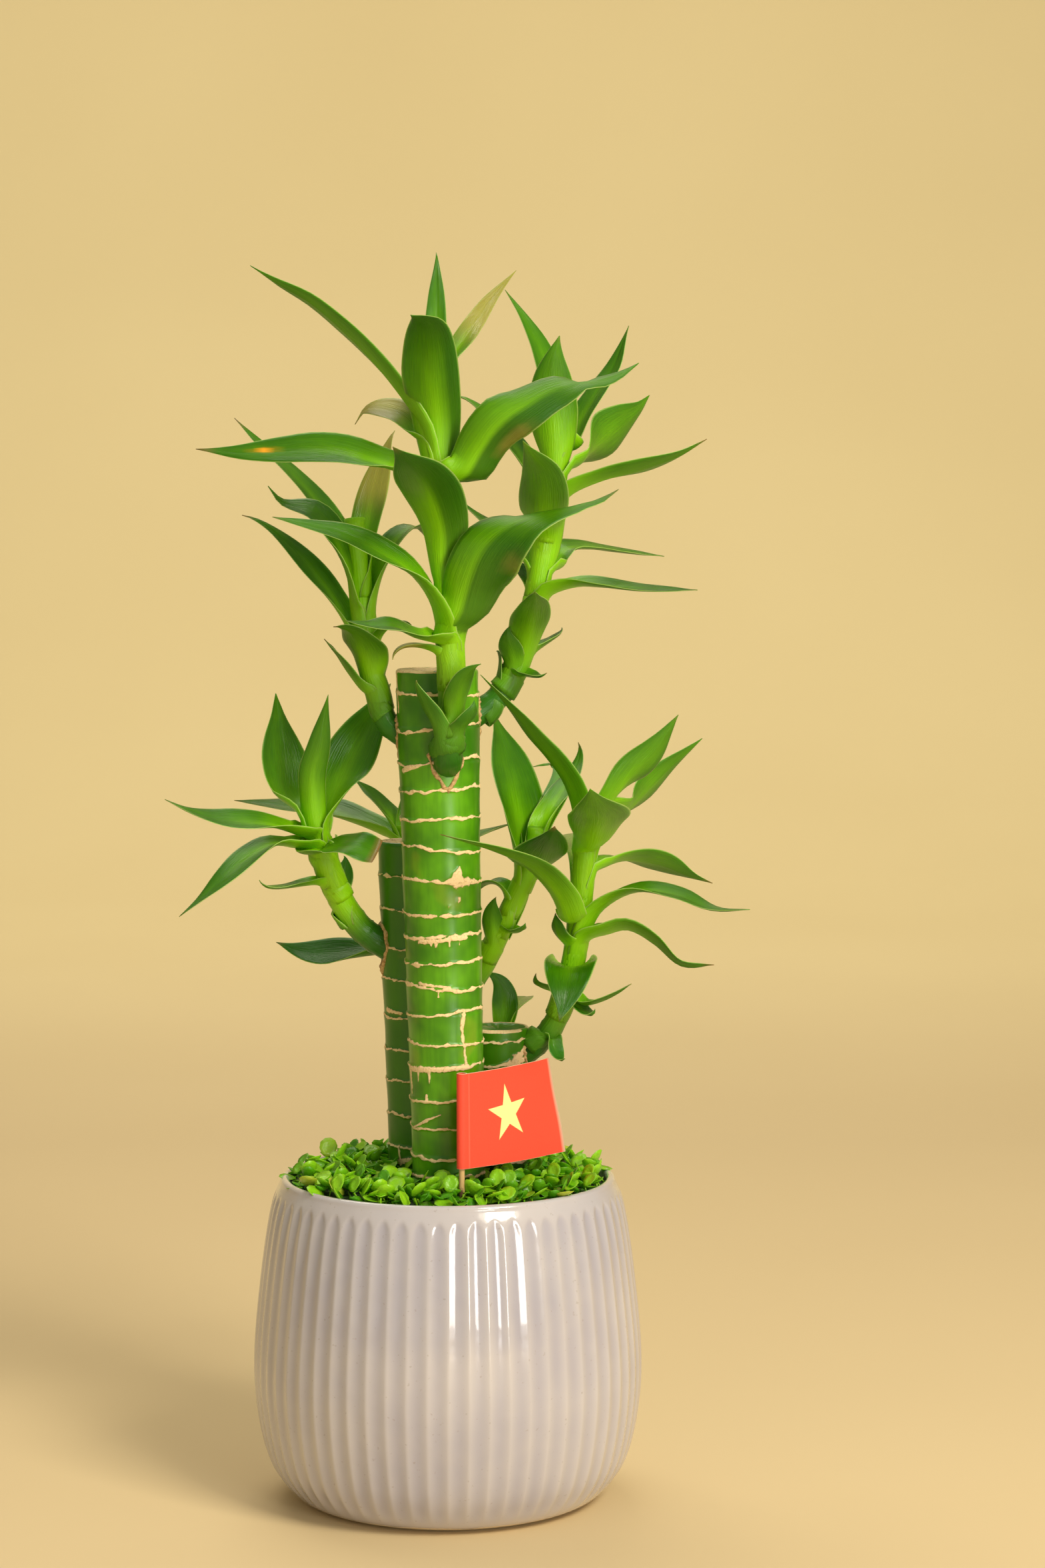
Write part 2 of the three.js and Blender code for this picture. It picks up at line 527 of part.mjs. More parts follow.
// The ground cover: a low tangle of stalks on the soil, and leaflets that stand out of it and lean over the
// rim, spread by the sunflower rule with a seeded draw for height and lean.
function makeCover() {
  const inner = RIM_RADIUS - RIM_WALL - GAP;
  const mat = toSolid(skin([
    circle(0, 0, SOIL_TOP + GAP, inner, POT_SIDES),
    circle(0, 0, MAT_TOP - 1, inner, POT_SIDES),
    circle(0, 0, MAT_TOP, inner - 4, POT_SIDES),
  ]));
  const draw = seeded(7);
  const leaflets = Array.from({ length: LEAFLET_COUNT }, (_, index) => {
    const reach = (inner - 1) * Math.sqrt((index + 0.5) / LEAFLET_COUNT);
    const turn = index * Math.PI * (3 - Math.sqrt(5)) + 0.3 * draw();
    const foot = new THREE.Vector3(reach * Math.cos(turn), reach * Math.sin(turn), MAT_TOP - 2);
    const lean = new THREE.Vector3(draw() - 0.5, draw() - 0.5, 0).multiplyScalar(2 * LEAFLET_LEAN);
    const head = foot.clone().add(lean).setZ(MAT_TOP + LEAFLET_LEAST + LEAFLET_DRAW * draw() * draw());
    return plug(foot, head, 0.5, LEAFLET_RADIUS * (0.8 + 0.3 * draw()), 4);
  });
  const around = plug(point([0, 0, 0]), point([0, 0, RIM_HEIGHT + GAP]), RIM_RADIUS + 20, RIM_RADIUS + 20, 8);
  const clear = inner - TRIM;
  const mouth = plug(point([0, 0, -1]), point([0, 0, RIM_HEIGHT + 1]), clear, clear, POT_SIDES);
  const rim = around.subtract(mouth);
  const holes = Object.values(canes).map((cane) => caneBody(cane, CANE_CLEAR, false));
  return wasm.Manifold.union([mat, ...leaflets])
    .subtract(wasm.Manifold.union([rim, stickBody(GAP), ...holes]));
}

// The flag: a paper sheet whose one edge is a tube glued round the stick.
function makeFlagPaper() {
  const [x, y] = flag.stick;
  const [low, high] = flag.hoist;
  const inner = STICK_RADIUS + GAP;
  const outer = inner + PAPER;
  const tube = plug(new THREE.Vector3(x, y, low), new THREE.Vector3(x, y, high), outer, outer, 12)
    .subtract(plug(new THREE.Vector3(x, y, low - 1), new THREE.Vector3(x, y, high + 1), inner, inner, 12));
  const steps = 6;
  const run = point(flag.cornerLow).sub(new THREE.Vector3(x, y, low)).setZ(0).normalize();
  const front = UP.clone().cross(run).negate();
  const edge = new THREE.Vector3(x, y, 0).addScaledVector(run, inner + PAPER / 3)
    .addScaledVector(front, inner / 2);
  const rings = Array.from({ length: steps + 1 }, (_, step) => {
    const share = step / steps;
    const billow = Math.sin(share * Math.PI) * flag.billow;
    const bottom = edge.clone().setZ(low).lerp(point(flag.cornerLow), share).addScaledVector(front, billow);
    const top = edge.clone().setZ(high).lerp(point(flag.cornerHigh), share).addScaledVector(front, billow);
    const half = front.clone().multiplyScalar(-PAPER / 2);
    const column = [bottom, bottom.clone().lerp(top, 0.5), top];
    const backFace = column.map((spot) => spot.clone().add(half));
    const frontFace = column.map((spot) => spot.clone().sub(half)).reverse();
    return [...backFace, ...frontFace];
  });
  return tube.add(toSolid(skin(rings)));
}

addPiece("pot", makePot(), colours.glaze);
addPiece("soil", makeSoil(), colours.soil);
addPiece("ground_cover", makeCover(), colours.moss);
for (const name of Object.keys(canes)) {
  addPiece(`cane_${name}`, makeCane(name), colours.cane);
}
for (const [name, shoot] of Object.entries(shoots)) {
  addPiece(`shoot_${name}`, makeShoot(shoot), colours.leaf);
}
addPiece("flag_stick", stickBody(0), colours.wood);
addPiece("flag_paper", makeFlagPaper(), colours.paper);

export default part;
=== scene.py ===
# Potted lucky bamboo: three cut canes with leafy shoots in a fluted, glazed pot, with a creeping carpet of
# small leaves on the soil and a paper flag on a toothpick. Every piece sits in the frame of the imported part.
import math
import random

import bpy
import numpy as np
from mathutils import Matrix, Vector, noise


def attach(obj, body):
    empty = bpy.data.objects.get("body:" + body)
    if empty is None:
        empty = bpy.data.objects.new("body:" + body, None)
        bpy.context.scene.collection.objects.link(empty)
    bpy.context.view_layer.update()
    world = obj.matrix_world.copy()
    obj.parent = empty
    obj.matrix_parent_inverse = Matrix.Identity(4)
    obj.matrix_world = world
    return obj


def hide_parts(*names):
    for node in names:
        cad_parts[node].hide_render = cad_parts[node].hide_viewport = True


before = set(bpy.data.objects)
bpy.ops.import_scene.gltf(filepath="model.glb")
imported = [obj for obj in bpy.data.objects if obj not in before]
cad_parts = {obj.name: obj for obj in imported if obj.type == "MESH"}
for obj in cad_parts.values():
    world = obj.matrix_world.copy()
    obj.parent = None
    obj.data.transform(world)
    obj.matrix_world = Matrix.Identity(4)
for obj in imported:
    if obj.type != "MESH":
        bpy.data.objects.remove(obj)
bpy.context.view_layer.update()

# The camera stands a good metre in front of the pot, level with the upper leaves. It looks slightly down
# and a little to the right.
CAMERA_AT = (0, -1.129, 0.3139)
CAMERA_DOWN = 4.70
CAMERA_RIGHT = 1.17

camera = bpy.data.objects.new("camera", bpy.data.cameras.new("camera"))
bpy.context.scene.collection.objects.link(camera)
camera.data.sensor_fit = "VERTICAL"
camera.data.sensor_height = 36
camera.data.lens = 85
camera.location = CAMERA_AT
camera.rotation_euler = (math.radians(90 - CAMERA_DOWN), 0, math.radians(-CAMERA_RIGHT))
bpy.context.scene.camera = camera

# The floor is a wide, plain, pale sheet, a little warm. It runs far out to the sides and sweeps up in a
# large curve behind the plant.
MM = 0.001
FLOOR_HALF = 4000
FLOOR_FRONT = -3000
FLOOR_BACK = 1500
SWEEP_RADIUS = 1100
SWEEP_TOP = 3200
SWEEP_STEPS = 20
FLOOR_COLOUR = (0.71, 0.56, 0.33, 1)
FLOOR_SHADE = (0.66, 0.51, 0.29, 1)
bpy.context.scene.view_settings.view_transform = "Standard"


def put(tree, kind, values=None, **settings):
    """Adds a node. Settings are its own properties, values its inputs, each fixed or linked."""
    node = tree.nodes.new(kind)
    for name, value in settings.items():
        setattr(node, name, value)
    for name, value in (values or {}).items():
        if isinstance(value, bpy.types.NodeSocket):
            tree.links.new(value, node.inputs[name])
        else:
            node.inputs[name].default_value = value
    return node


def new_finish(name, flat_map=None, **values):
    """A material, its tree, its shader with plain inputs set by name, and the place on its piece."""
    material = bpy.data.materials.new(name)
    material.use_nodes = True
    tree = material.node_tree
    shader = tree.nodes["Principled BSDF"]
    for key, value in values.items():
        shader.inputs[key.replace("_", " ").title().replace("Ior", "IOR")].default_value = value
    if flat_map:
        return material, tree, shader, put(tree, "ShaderNodeUVMap", uv_map=flat_map).outputs[0]
    return material, tree, shader, put(tree, "ShaderNodeTexCoord").outputs["Object"]


def noise_on(tree, place, size, detail, roughness=0.5):
    """Noise between 0 and 1 over a surface."""
    values = {"Vector": place, "Scale": size, "Detail": detail, "Roughness": roughness}
    return put(tree, "ShaderNodeTexNoise", values).outputs["Fac"]


def coats(tree, colour, *layers):
    """A colour with others laid over it in turn, each given as the share of it that shows and the colour."""
    for share, layer in layers:
        values = {0: share, 6: colour, 7: layer}
        colour = put(tree, "ShaderNodeMix", values, data_type="RGBA").outputs[2]
    return colour


def dress(shader, colour, roughness=None, relief=None):
    """Links what varies over a surface to its shader. A relief is a height, a strength and a distance."""
    tree = shader.id_data
    tree.links.new(colour, shader.inputs["Base Color"])
    if roughness is not None:
        tree.links.new(roughness, shader.inputs["Roughness"])
    if relief is not None:
        bump = put(tree, "ShaderNodeBump", dict(zip(("Height", "Strength", "Distance"), relief)))
        tree.links.new(bump.outputs["Normal"], shader.inputs["Normal"])


def linked(piece):
    """Puts a piece in the scene."""
    bpy.context.scene.collection.objects.link(piece)
    return piece


def new_piece(name, points, faces, material, shares=None, flat_map=None):
    """A smooth mesh at the origin from points in millimetres, with values and a flat map at its points."""
    mesh = bpy.data.meshes.new(name)
    mesh.from_pydata((np.asarray(points, float) * MM).tolist(), [], [list(face) for face in faces])
    mesh.shade_smooth()
    for key, values in (shares or {}).items():
        mesh.attributes.new(key, "FLOAT", "POINT").data.foreach_set("value", np.asarray(values, np.float32))
    if flat_map is not None:
        corners = np.empty(len(mesh.loops), np.int32)
        mesh.loops.foreach_get("vertex_index", corners)
        layer = mesh.uv_layers.new(name="flat")
        layer.data.foreach_set("uv", np.asarray(flat_map, np.float32)[corners].ravel())
    mesh.materials.append(material)
    return linked(bpy.data.objects.new(name, mesh))


floor_finish, tree, shader, place = new_finish("pale_floor", roughness=0.75)
dress(shader, coats(tree, FLOOR_COLOUR, (noise_on(tree, place, 3.0, 2.0), FLOOR_SHADE)))
sweep = [(FLOOR_FRONT, 0), (0, 0)]
for turn in np.linspace(0, math.pi / 2, SWEEP_STEPS):
    sweep.append((FLOOR_BACK + SWEEP_RADIUS * math.sin(turn), SWEEP_RADIUS * (1 - math.cos(turn))))
sweep.append((FLOOR_BACK + SWEEP_RADIUS, SWEEP_TOP))
points = [(side * FLOOR_HALF, y, z) for y, z in sweep for side in (-1, 1)]
strips = [(2 * k, 2 * k + 1, 2 * k + 3, 2 * k + 2) for k in range(len(sweep) - 1)]
floor = new_piece("floor", points, strips, floor_finish)

# The pot is one piece of stoneware, thrown round and pressed with sixty upright flutes that end in small
# arches under a smooth band. It is dipped in a glossy grey glaze, and its foot is wiped bare.
POT_OUTLINE = [(41.7, 0), (47.5, 2.5), (53.9, 10), (57.2, 18.4), (60, 39), (58, 68), (54, 93), (51.6, 98.9)]
POT_RIM = (50.15, 98.85)
POT_LIP = 1.45
POT_INSIDE = [(48.7, 97), (49.6, 94), (53, 70), (55, 39), (47, 13), (41, 8)]
POT_AROUND = 720
POT_ROWS = 66
LIP_ROWS = 9
INSIDE_ROWS = 12
FLUTES = 60
FLUTE_DEPTH = 0.5
FLUTE_TOP = 95.2
FLUTE_ARCH = 3.0
FLUTE_FADE = 1.2
FLUTE_START = 2.0
FLUTE_FOOT = 9.0
FLUTE_SHARPNESS = 0.6
BARE_FROM = 0.0027
BARE_TO = 0.0021
GLAZE_THICK = (0.40, 0.38, 0.45, 1)
GLAZE_THIN = (0.62, 0.58, 0.58, 1)
GLAZE_SPECK = (0.30, 0.25, 0.22, 1)
BARE_CLAY = (0.72, 0.60, 0.42, 1)


def calc(tree, operation, *values):
    """One step of arithmetic on values that vary over the surface."""
    return put(tree, "ShaderNodeMath", dict(enumerate(values)), operation=operation).outputs[0]


def times(tree, product, *values):
    """Values that vary over the surface, multiplied."""
    for value in values:
        product = calc(tree, "MULTIPLY", product, value)
    return product


def ramp(tree, value, low, high, to_low=0.0, to_high=1.0):
    """Maps a value between two limits, smoothly and clamped."""
    limits = {"Value": value, "From Min": low, "From Max": high, "To Min": to_low, "To Max": to_high}
    return put(tree, "ShaderNodeMapRange", limits, interpolation_type="SMOOTHSTEP").outputs[0]


def axes(tree, place):
    """The three numbers of a place."""
    return put(tree, "ShaderNodeSeparateXYZ", {"Vector": place}).outputs


def share_of(tree, name):
    """A value that the mesh carries at its points."""
    return put(tree, "ShaderNodeAttribute", attribute_name=name).outputs["Fac"]


def all_round(count):
    """Angles once round a circle."""
    return np.linspace(0, 2 * math.pi, count, endpoint=False)


def run(points, shares):
    """Points along a smooth curve through given points, for shares between 0 and 1."""
    points = np.asarray(points, float)
    ends = np.vstack([2 * points[0] - points[1], points, 2 * points[-1] - points[-2]])
    place = np.clip(np.asarray(shares, float), 0, 1) * (len(points) - 1)
    index = np.minimum(place.astype(int), len(points) - 2)
    at = (place - index)[:, None]
    p0, p1, p2, p3 = (ends[index + k] for k in range(4))
    d0, d1, d2 = (np.sqrt(np.linalg.norm(b - a, axis=1))[:, None] for a, b in ((p0, p1), (p1, p2), (p2, p3)))
    t1 = d1 * ((p1 - p0) / d0 - (p2 - p0) / (d0 + d1) + (p2 - p1) / d1)
    t2 = d1 * ((p2 - p1) / d1 - (p3 - p1) / (d1 + d2) + (p3 - p2) / d2)
    return p1 + t1 * at + (3 * (p2 - p1) - 2 * t1 - t2) * at ** 2 + (2 * (p1 - p2) + t1 + t2) * at ** 3


def skin(rows, around, first=0):
    """Faces over rows of points that each close in a ring, with a flat cap at both ends."""
    faces = []
    for low in range(first, first + (rows - 1) * around, around):
        high = low + around
        faces += [(low + k, low + (k + 1) % around, high + (k + 1) % around, high + k) for k in range(around)]
    faces.append(tuple(reversed(range(first, first + around))))
    faces.append(tuple(range(first + (rows - 1) * around, first + rows * around)))
    return faces


def new_tree(name, kind, output, *inputs):
    """An empty node tree with one output, (name, kind), and named inputs, each (name, kind, value)."""
    tree = bpy.data.node_groups.new(name, kind + "NodeTree")
    tree.interface.new_socket(output[0], in_out="OUTPUT", socket_type="NodeSocket" + output[1])
    for label, socket_kind, value in inputs:
        socket = tree.interface.new_socket(label, in_out="INPUT", socket_type="NodeSocket" + socket_kind)
        if value is not None:
            socket.default_value = value
    return tree, put(tree, "NodeGroupInput").outputs


def level_place(tree):
    """The three numbers of where a point is, and the same place without its height."""
    place = axes(tree, put(tree, "GeometryNodeInputPosition").outputs[0])
    return place, put(tree, "ShaderNodeCombineXYZ", {"X": place["X"], "Y": place["Y"]}).outputs[0]


def carrying(tree, geometry, name, value, domain):
    """A geometry that carries a value at its points or copies."""
    values = {"Geometry": geometry, "Name": name, "Value": value}
    kind = "GeometryNodeStoreNamedAttribute"
    return put(tree, kind, values, data_type="FLOAT", domain=domain).outputs[0]


def coated(tree, geometry, finish):
    """Ends a tree in a real mesh with its material."""
    real = put(tree, "GeometryNodeRealizeInstances", {"Geometry": geometry}).outputs[0]
    clad = put(tree, "GeometryNodeSetMaterial", {"Geometry": real, "Material": finish}).outputs[0]
    put(tree, "NodeGroupOutput", {"Geometry": clad})


def grown(piece, tree, name, **values):
    """The plain mesh that a tree makes of a piece, as a new piece. The piece it grew on is removed."""
    modifier = piece.modifiers.new(tree.name, "NODES")
    modifier.node_group = tree
    for socket in tree.interface.items_tree:
        if socket.in_out == "INPUT" and socket.name in values:
            modifier[socket.identifier] = values[socket.name]
    bpy.context.view_layer.update()
    evaluated = piece.evaluated_get(bpy.context.evaluated_depsgraph_get())
    mesh = bpy.data.meshes.new_from_object(evaluated)
    piece.modifiers.clear()
    bpy.data.objects.remove(piece)
    mesh.name = name
    return linked(bpy.data.objects.new(name, mesh))


# Slow cloudy changes of tone, as in a glaze, a rind or a leaf.
clouds, given = new_tree("clouds", "Shader", ("Cloud", "Float"), ("Place", "Vector", None),
                         ("Size", "Float", 20.0))
mottle = noise_on(clouds, given["Place"], given["Size"], 3.0, 0.55)
put(clouds, "NodeGroupOutput", {"Cloud": ramp(clouds, mottle, 0.3, 0.7)})


def cloud(tree, place, size):
    """The clouds, placed in a material."""
    return put(tree, "ShaderNodeGroup", {"Place": place, "Size": size}, node_tree=clouds).outputs["Cloud"]


glaze, tree, shader, place = new_finish("grey_glaze", roughness=0.16, specular_ior_level=0.5,
                                        coat_weight=1.0, coat_roughness=0.03)
thin = calc(tree, "MULTIPLY_ADD", cloud(tree, place, 30), 0.3, times(tree, share_of(tree, "crest"), 0.4))
speck = ramp(tree, noise_on(tree, place, 900.0, 1.0), 0.70, 0.78, 0, 0.35)
uneven = calc(tree, "MULTIPLY_ADD", cloud(tree, place, 160), 0.0006, axes(tree, place)["Z"])
bare = ramp(tree, uneven, BARE_FROM, BARE_TO)
dress(shader, coats(tree, GLAZE_THICK, (thin, GLAZE_THIN), (speck, GLAZE_SPECK), (bare, BARE_CLAY)),
      ramp(tree, bare, 0, 1, 0.16, 0.85), (noise_on(tree, place, 95.0, 2.0), 0.35, 0.0006))

outside = run(POT_OUTLINE, np.linspace(0, 1, POT_ROWS) ** 1.1)
lip_turns = np.linspace(0, math.pi, LIP_ROWS + 2)[1:-1]
lip = np.stack([POT_RIM[0] + POT_LIP * np.cos(lip_turns), POT_RIM[1] + POT_LIP * np.sin(lip_turns)], 1)
profile = np.vstack([outside, lip, run(POT_INSIDE, np.linspace(0, 1, INSIDE_ROWS))])
turns = all_round(POT_AROUND)
points = np.stack([profile[:, :1] * np.cos(turns), profile[:, :1] * np.sin(turns),
                   np.repeat(profile[:, 1:], POT_AROUND, 1)], 2).reshape(-1, 3)
outer_wall = np.repeat((np.arange(len(profile)) < len(outside)).astype(float), POT_AROUND)
blank = new_piece("pot_blank", points, skin(len(profile), POT_AROUND), glaze, {"wall": outer_wall})

# The flutes: the wall is pushed in between two crests, less and less towards the foot, up to an arch.
press, given = new_tree("press_flutes", "Geometry", ("Geometry", "Geometry"), ("Geometry", "Geometry", None),
                        ("Flutes", "Float", 60.0), ("Depth", "Float", 0.001), ("Top", "Float", 0.095),
                        ("Arch", "Float", 0.003), ("Foot", "Float", 0.009), ("Finish", "Material", None))
place, level = level_place(press)
turn = calc(press, "ARCTAN2", place["Y"], place["X"])
swing = calc(press, "COSINE", times(press, turn, given["Flutes"]))
hollow = calc(press, "POWER", calc(press, "MULTIPLY_ADD", swing, -0.5, 0.5), FLUTE_SHARPNESS)
drop = times(press, given["Arch"], calc(press, "SUBTRACT", 1.0, hollow))
from_top = calc(press, "SUBTRACT", calc(press, "SUBTRACT", given["Top"], drop), place["Z"])
fade_top = ramp(press, from_top, -FLUTE_FADE * MM, FLUTE_FADE * MM)
fade_foot = ramp(press, place["Z"], FLUTE_START * MM, given["Foot"])
wall = put(press, "GeometryNodeInputNamedAttribute", {"Name": "wall"}, data_type="FLOAT").outputs[0]
pushed = times(press, hollow, fade_top, fade_foot, wall)
depth = times(press, pushed, given["Depth"], -1.0)
outward = put(press, "ShaderNodeVectorMath", {0: level}, operation="NORMALIZE").outputs[0]
offset = put(press, "ShaderNodeVectorMath", {0: outward, "Scale": depth}, operation="SCALE").outputs[0]
moved = put(press, "GeometryNodeSetPosition", {"Geometry": given["Geometry"], "Offset": offset}).outputs[0]
crest = calc(press, "SUBTRACT", 1.0, pushed)
coated(press, carrying(press, moved, "crest", crest, "POINT"), given["Finish"])
pot = grown(blank, press, "fluted_pot", Flutes=float(FLUTES), Depth=FLUTE_DEPTH * MM, Top=FLUTE_TOP * MM,
            Arch=FLUTE_ARCH * MM, Foot=FLUTE_FOOT * MM, Finish=glaze)
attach(pot, "root")
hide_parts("pot")

# The soil fills the pot to just under the rim. It is dark, damp and crumbly potting earth, pressed down
# round the canes, and the carpet hides nearly all of it.
SOIL_DARK = (0.012, 0.008, 0.005, 1)
SOIL_BROWN = (0.06, 0.036, 0.02, 1)

soil_finish, tree, shader, place = new_finish("damp_soil", roughness=0.95)
crumbs = noise_on(tree, place, 420.0, 6.0)
dress(shader, coats(tree, SOIL_DARK, (ramp(tree, crumbs, 0.35, 0.7), SOIL_BROWN)),
      relief=(crumbs, 0.9, 0.002))
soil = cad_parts["soil"]
soil.data.materials.clear()
soil.data.materials.append(soil_finish)

# The carpet is a creeping plant: a low cushion of stalks, and on it hundreds of round, glossy leaflets.
# They crowd in every direction, stand up to 8 mm over the rim and lean out over it here and there.
CARPET_RADIUS = 48.2
CARPET_BASE = 94.4
CARPET_TOP = 96.4
CARPET_AROUND = 72
CARPET_RINGS = 16
CARPET_EDGE = 6
HUMP_AT = (-28, 6)
HUMP_REACH = 22
HUMP_HIGH = 1.6
LEAFLET_LENGTH = 5.6
LEAFLET_WIDTH = 4.8
LEAFLET_MIDDLE = 0.55
LEAFLET_THICK = 0.3
LEAFLET_CUP = 0.7
LEAFLET_SIDES = 10
LEAFLET_SPACING = 2.1
LEAFLET_DENSITY = 260000.0
LEAFLET_SEED = 5
LEAFLETS_REACH = 47.3
RISE_LEAST = (0.0, 0.0, 0.0004)
RISE_MOST = (0.0, 0.0, 0.0038)
LEAN_LEAST = (-0.2, -0.45, 0.0)
LEAN_MOST = (1.2, 0.45, 6.283)
STALK_LENGTH = 4.5
STALK_RADIUS = 0.3
RUNNERS = 46
RUNNER_RADIUS = 0.26
RUNNERS_REACH = 45
RUNNER_LENGTH = (5, 10)
RUNNER_HIGH = (3.0, 5.5)
RUNNER_BOW = 1.4
RUNNER_STEPS = 8
THREE_SIDES = (0, 2.1, 4.2)
LEAFLET_BRIGHT = (0.30, 0.64, 0.012, 1)
LEAFLET_DARK = (0.06, 0.26, 0.003, 1)
LEAFLET_DRY = (0.50, 0.38, 0.06, 1)
CUSHION_GREEN = (0.05, 0.16, 0.008, 1)
CUSHION_DARK = (0.012, 0.028, 0.004, 1)


def rough(x, y, z=0.0):
    """A smooth random height between about -1 and 1, the same on every run."""
    return noise.noise(Vector((x, y, z)))


def cushion_height(x, y):
    """The top of the cushion: uneven, with a hump at the left, and lower at the rim."""
    edge = min(1, (CARPET_RADIUS - math.hypot(x, y)) / CARPET_EDGE)
    hump = HUMP_HIGH * math.exp(-((x - HUMP_AT[0]) ** 2 + (y - HUMP_AT[1]) ** 2) / HUMP_REACH ** 2)
    return CARPET_TOP + 1.2 * edge + hump + 0.9 * rough(x / 9, y / 9) + 0.5 * rough(x / 4, y / 4, 3)


leaflet_finish, tree, shader, place = new_finish("round_leaflet", roughness=0.32, specular_ior_level=0.4,
                                                 subsurface_weight=0.15, subsurface_scale=0.002,
                                                 subsurface_radius=(0.4, 1.0, 0.1))
tone = share_of(tree, "tone")
dress(shader, coats(tree, LEAFLET_DARK, (ramp(tree, tone, 0.1, 0.9), LEAFLET_BRIGHT),
                    (ramp(tree, tone, 0.985, 0.995, 0, 0.6), LEAFLET_DRY),
                    (times(tree, cloud(tree, place, 250), 0.35), LEAFLET_DARK)),
      relief=(cloud(tree, place, 900), 0.25, 0.0003))

cushion_finish, tree, shader, place = new_finish("tangled_stalks", roughness=0.85)
tangle = put(tree, "ShaderNodeTexVoronoi", {"Vector": place, "Scale": 380.0}).outputs["Distance"]
dress(shader, coats(tree, CUSHION_GREEN, (ramp(tree, tangle, 0.1, 0.6), CUSHION_DARK)),
      relief=(tangle, 0.8, 0.002))

rings = [(CARPET_RADIUS, CARPET_BASE)]
rings += [(CARPET_RADIUS * (1 - (k / CARPET_RINGS) ** 1.4), None) for k in range(CARPET_RINGS)]
points = []
for radius, fixed in rings:
    for turn in all_round(CARPET_AROUND):
        x, y = radius * math.cos(turn), radius * math.sin(turn)
        points.append((x, y, fixed or cushion_height(x, y)))
cushion = new_piece("carpet_cushion", points, skin(len(rings), CARPET_AROUND), cushion_finish)

# One leaflet: an egg-shaped, cupped blade from its middle out over two rings, closed below, and its stalk.
points = []
for sheet in (1, -1):
    points.append((0, LEAFLET_LENGTH * LEAFLET_MIDDLE, sheet * LEAFLET_THICK / 2))
    for reach, kept in ((0.55, 1.0), (1.0, 0.4)):
        for turn in all_round(LEAFLET_SIDES):
            narrow = 1 - 0.16 * math.cos(turn) ** 2 - 0.10 * math.cos(turn)
            x = reach * narrow * LEAFLET_WIDTH / 2 * math.sin(turn)
            y = LEAFLET_LENGTH * (LEAFLET_MIDDLE - 0.5 * reach * math.cos(turn))
            cup = LEAFLET_CUP * reach ** 2 * (0.6 + 0.4 * abs(math.sin(turn)))
            points.append((x, y, cup + sheet * (LEAFLET_THICK / 2 * kept)))
faces = []
lower = 1 + 2 * LEAFLET_SIDES
for k in range(1, 1 + LEAFLET_SIDES):
    follow = 1 + k % LEAFLET_SIDES
    outer, outer_follow = k + LEAFLET_SIDES, follow + LEAFLET_SIDES
    upper = [(0, k, follow), (k, outer, outer_follow, follow)]
    faces += upper
    faces += [tuple(index + lower for index in reversed(face)) for face in upper]
    faces.append((outer, outer + lower, outer_follow + lower, outer_follow))
faces += skin(3, len(THREE_SIDES), len(points))
for share in (1, 0.5, 0):
    for side in THREE_SIDES:
        y = -share * STALK_LENGTH * 0.45 + STALK_RADIUS * math.sin(side) + STALK_RADIUS
        points.append((STALK_RADIUS * math.cos(side), y, -share * STALK_LENGTH))
leaflet = new_piece("leaflet_pattern", points, faces, leaflet_finish)

scatter, given = new_tree("scatter_leaflets", "Geometry", ("Geometry", "Geometry"),
                          ("Geometry", "Geometry", None), ("Leaflet", "Object", None),
                          ("Spacing", "Float", 0.002), ("Density", "Float", 200000.0),
                          ("Reach", "Float", 0.047), ("Least size", "Float", 0.72),
                          ("Most size", "Float", 1.2), ("Seed", "Int", 5), ("Finish", "Material", None))


def any_between(low, high):
    """A random number, or three, for each leaflet."""
    three = isinstance(low, tuple)
    limits = {0: low, 1: high} if three else {2: low, 3: high}
    kind = "FLOAT_VECTOR" if three else "FLOAT"
    node = put(scatter, "FunctionNodeRandomValue", {**limits, "Seed": given["Seed"]}, data_type=kind)
    return node.outputs[0 if three else 1]


facing = axes(scatter, put(scatter, "GeometryNodeInputNormal").outputs[0])["Z"]
place, level = level_place(scatter)
away = put(scatter, "ShaderNodeVectorMath", {0: level}, operation="LENGTH").outputs["Value"]
topside = times(scatter, calc(scatter, "GREATER_THAN", facing, 0.45),
                calc(scatter, "LESS_THAN", away, given["Reach"]))
spots = put(scatter, "GeometryNodeDistributePointsOnFaces",
            {"Mesh": given["Geometry"], "Selection": topside, "Distance Min": given["Spacing"],
             "Density Max": given["Density"], "Seed": given["Seed"]}, distribute_method="POISSON")
rise = any_between(RISE_LEAST, RISE_MOST)
lifted = put(scatter, "GeometryNodeSetPosition", {"Geometry": spots.outputs["Points"], "Offset": rise})
shape = put(scatter, "GeometryNodeObjectInfo", {"Object": given["Leaflet"]}).outputs["Geometry"]
lean = any_between(LEAN_LEAST, LEAN_MOST)
turned = put(scatter, "FunctionNodeEulerToRotation", {"Euler": lean}).outputs[0]
size = any_between(given["Least size"], given["Most size"])
copies = put(scatter, "GeometryNodeInstanceOnPoints", {"Points": lifted.outputs[0], "Instance": shape,
                                                       "Rotation": turned, "Scale": size}).outputs[0]
coated(scatter, carrying(scatter, copies, "tone", any_between(0.0, 1.0), "INSTANCE"), given["Finish"])
bed = linked(bpy.data.objects.new("bed", cushion.data.copy()))
leaflets = grown(bed, scatter, "carpet_leaflets", Leaflet=leaflet, Spacing=LEAFLET_SPACING * MM,
                 Density=LEAFLET_DENSITY, Reach=LEAFLETS_REACH * MM, Seed=LEAFLET_SEED, Finish=leaflet_finish)
bpy.data.objects.remove(leaflet)

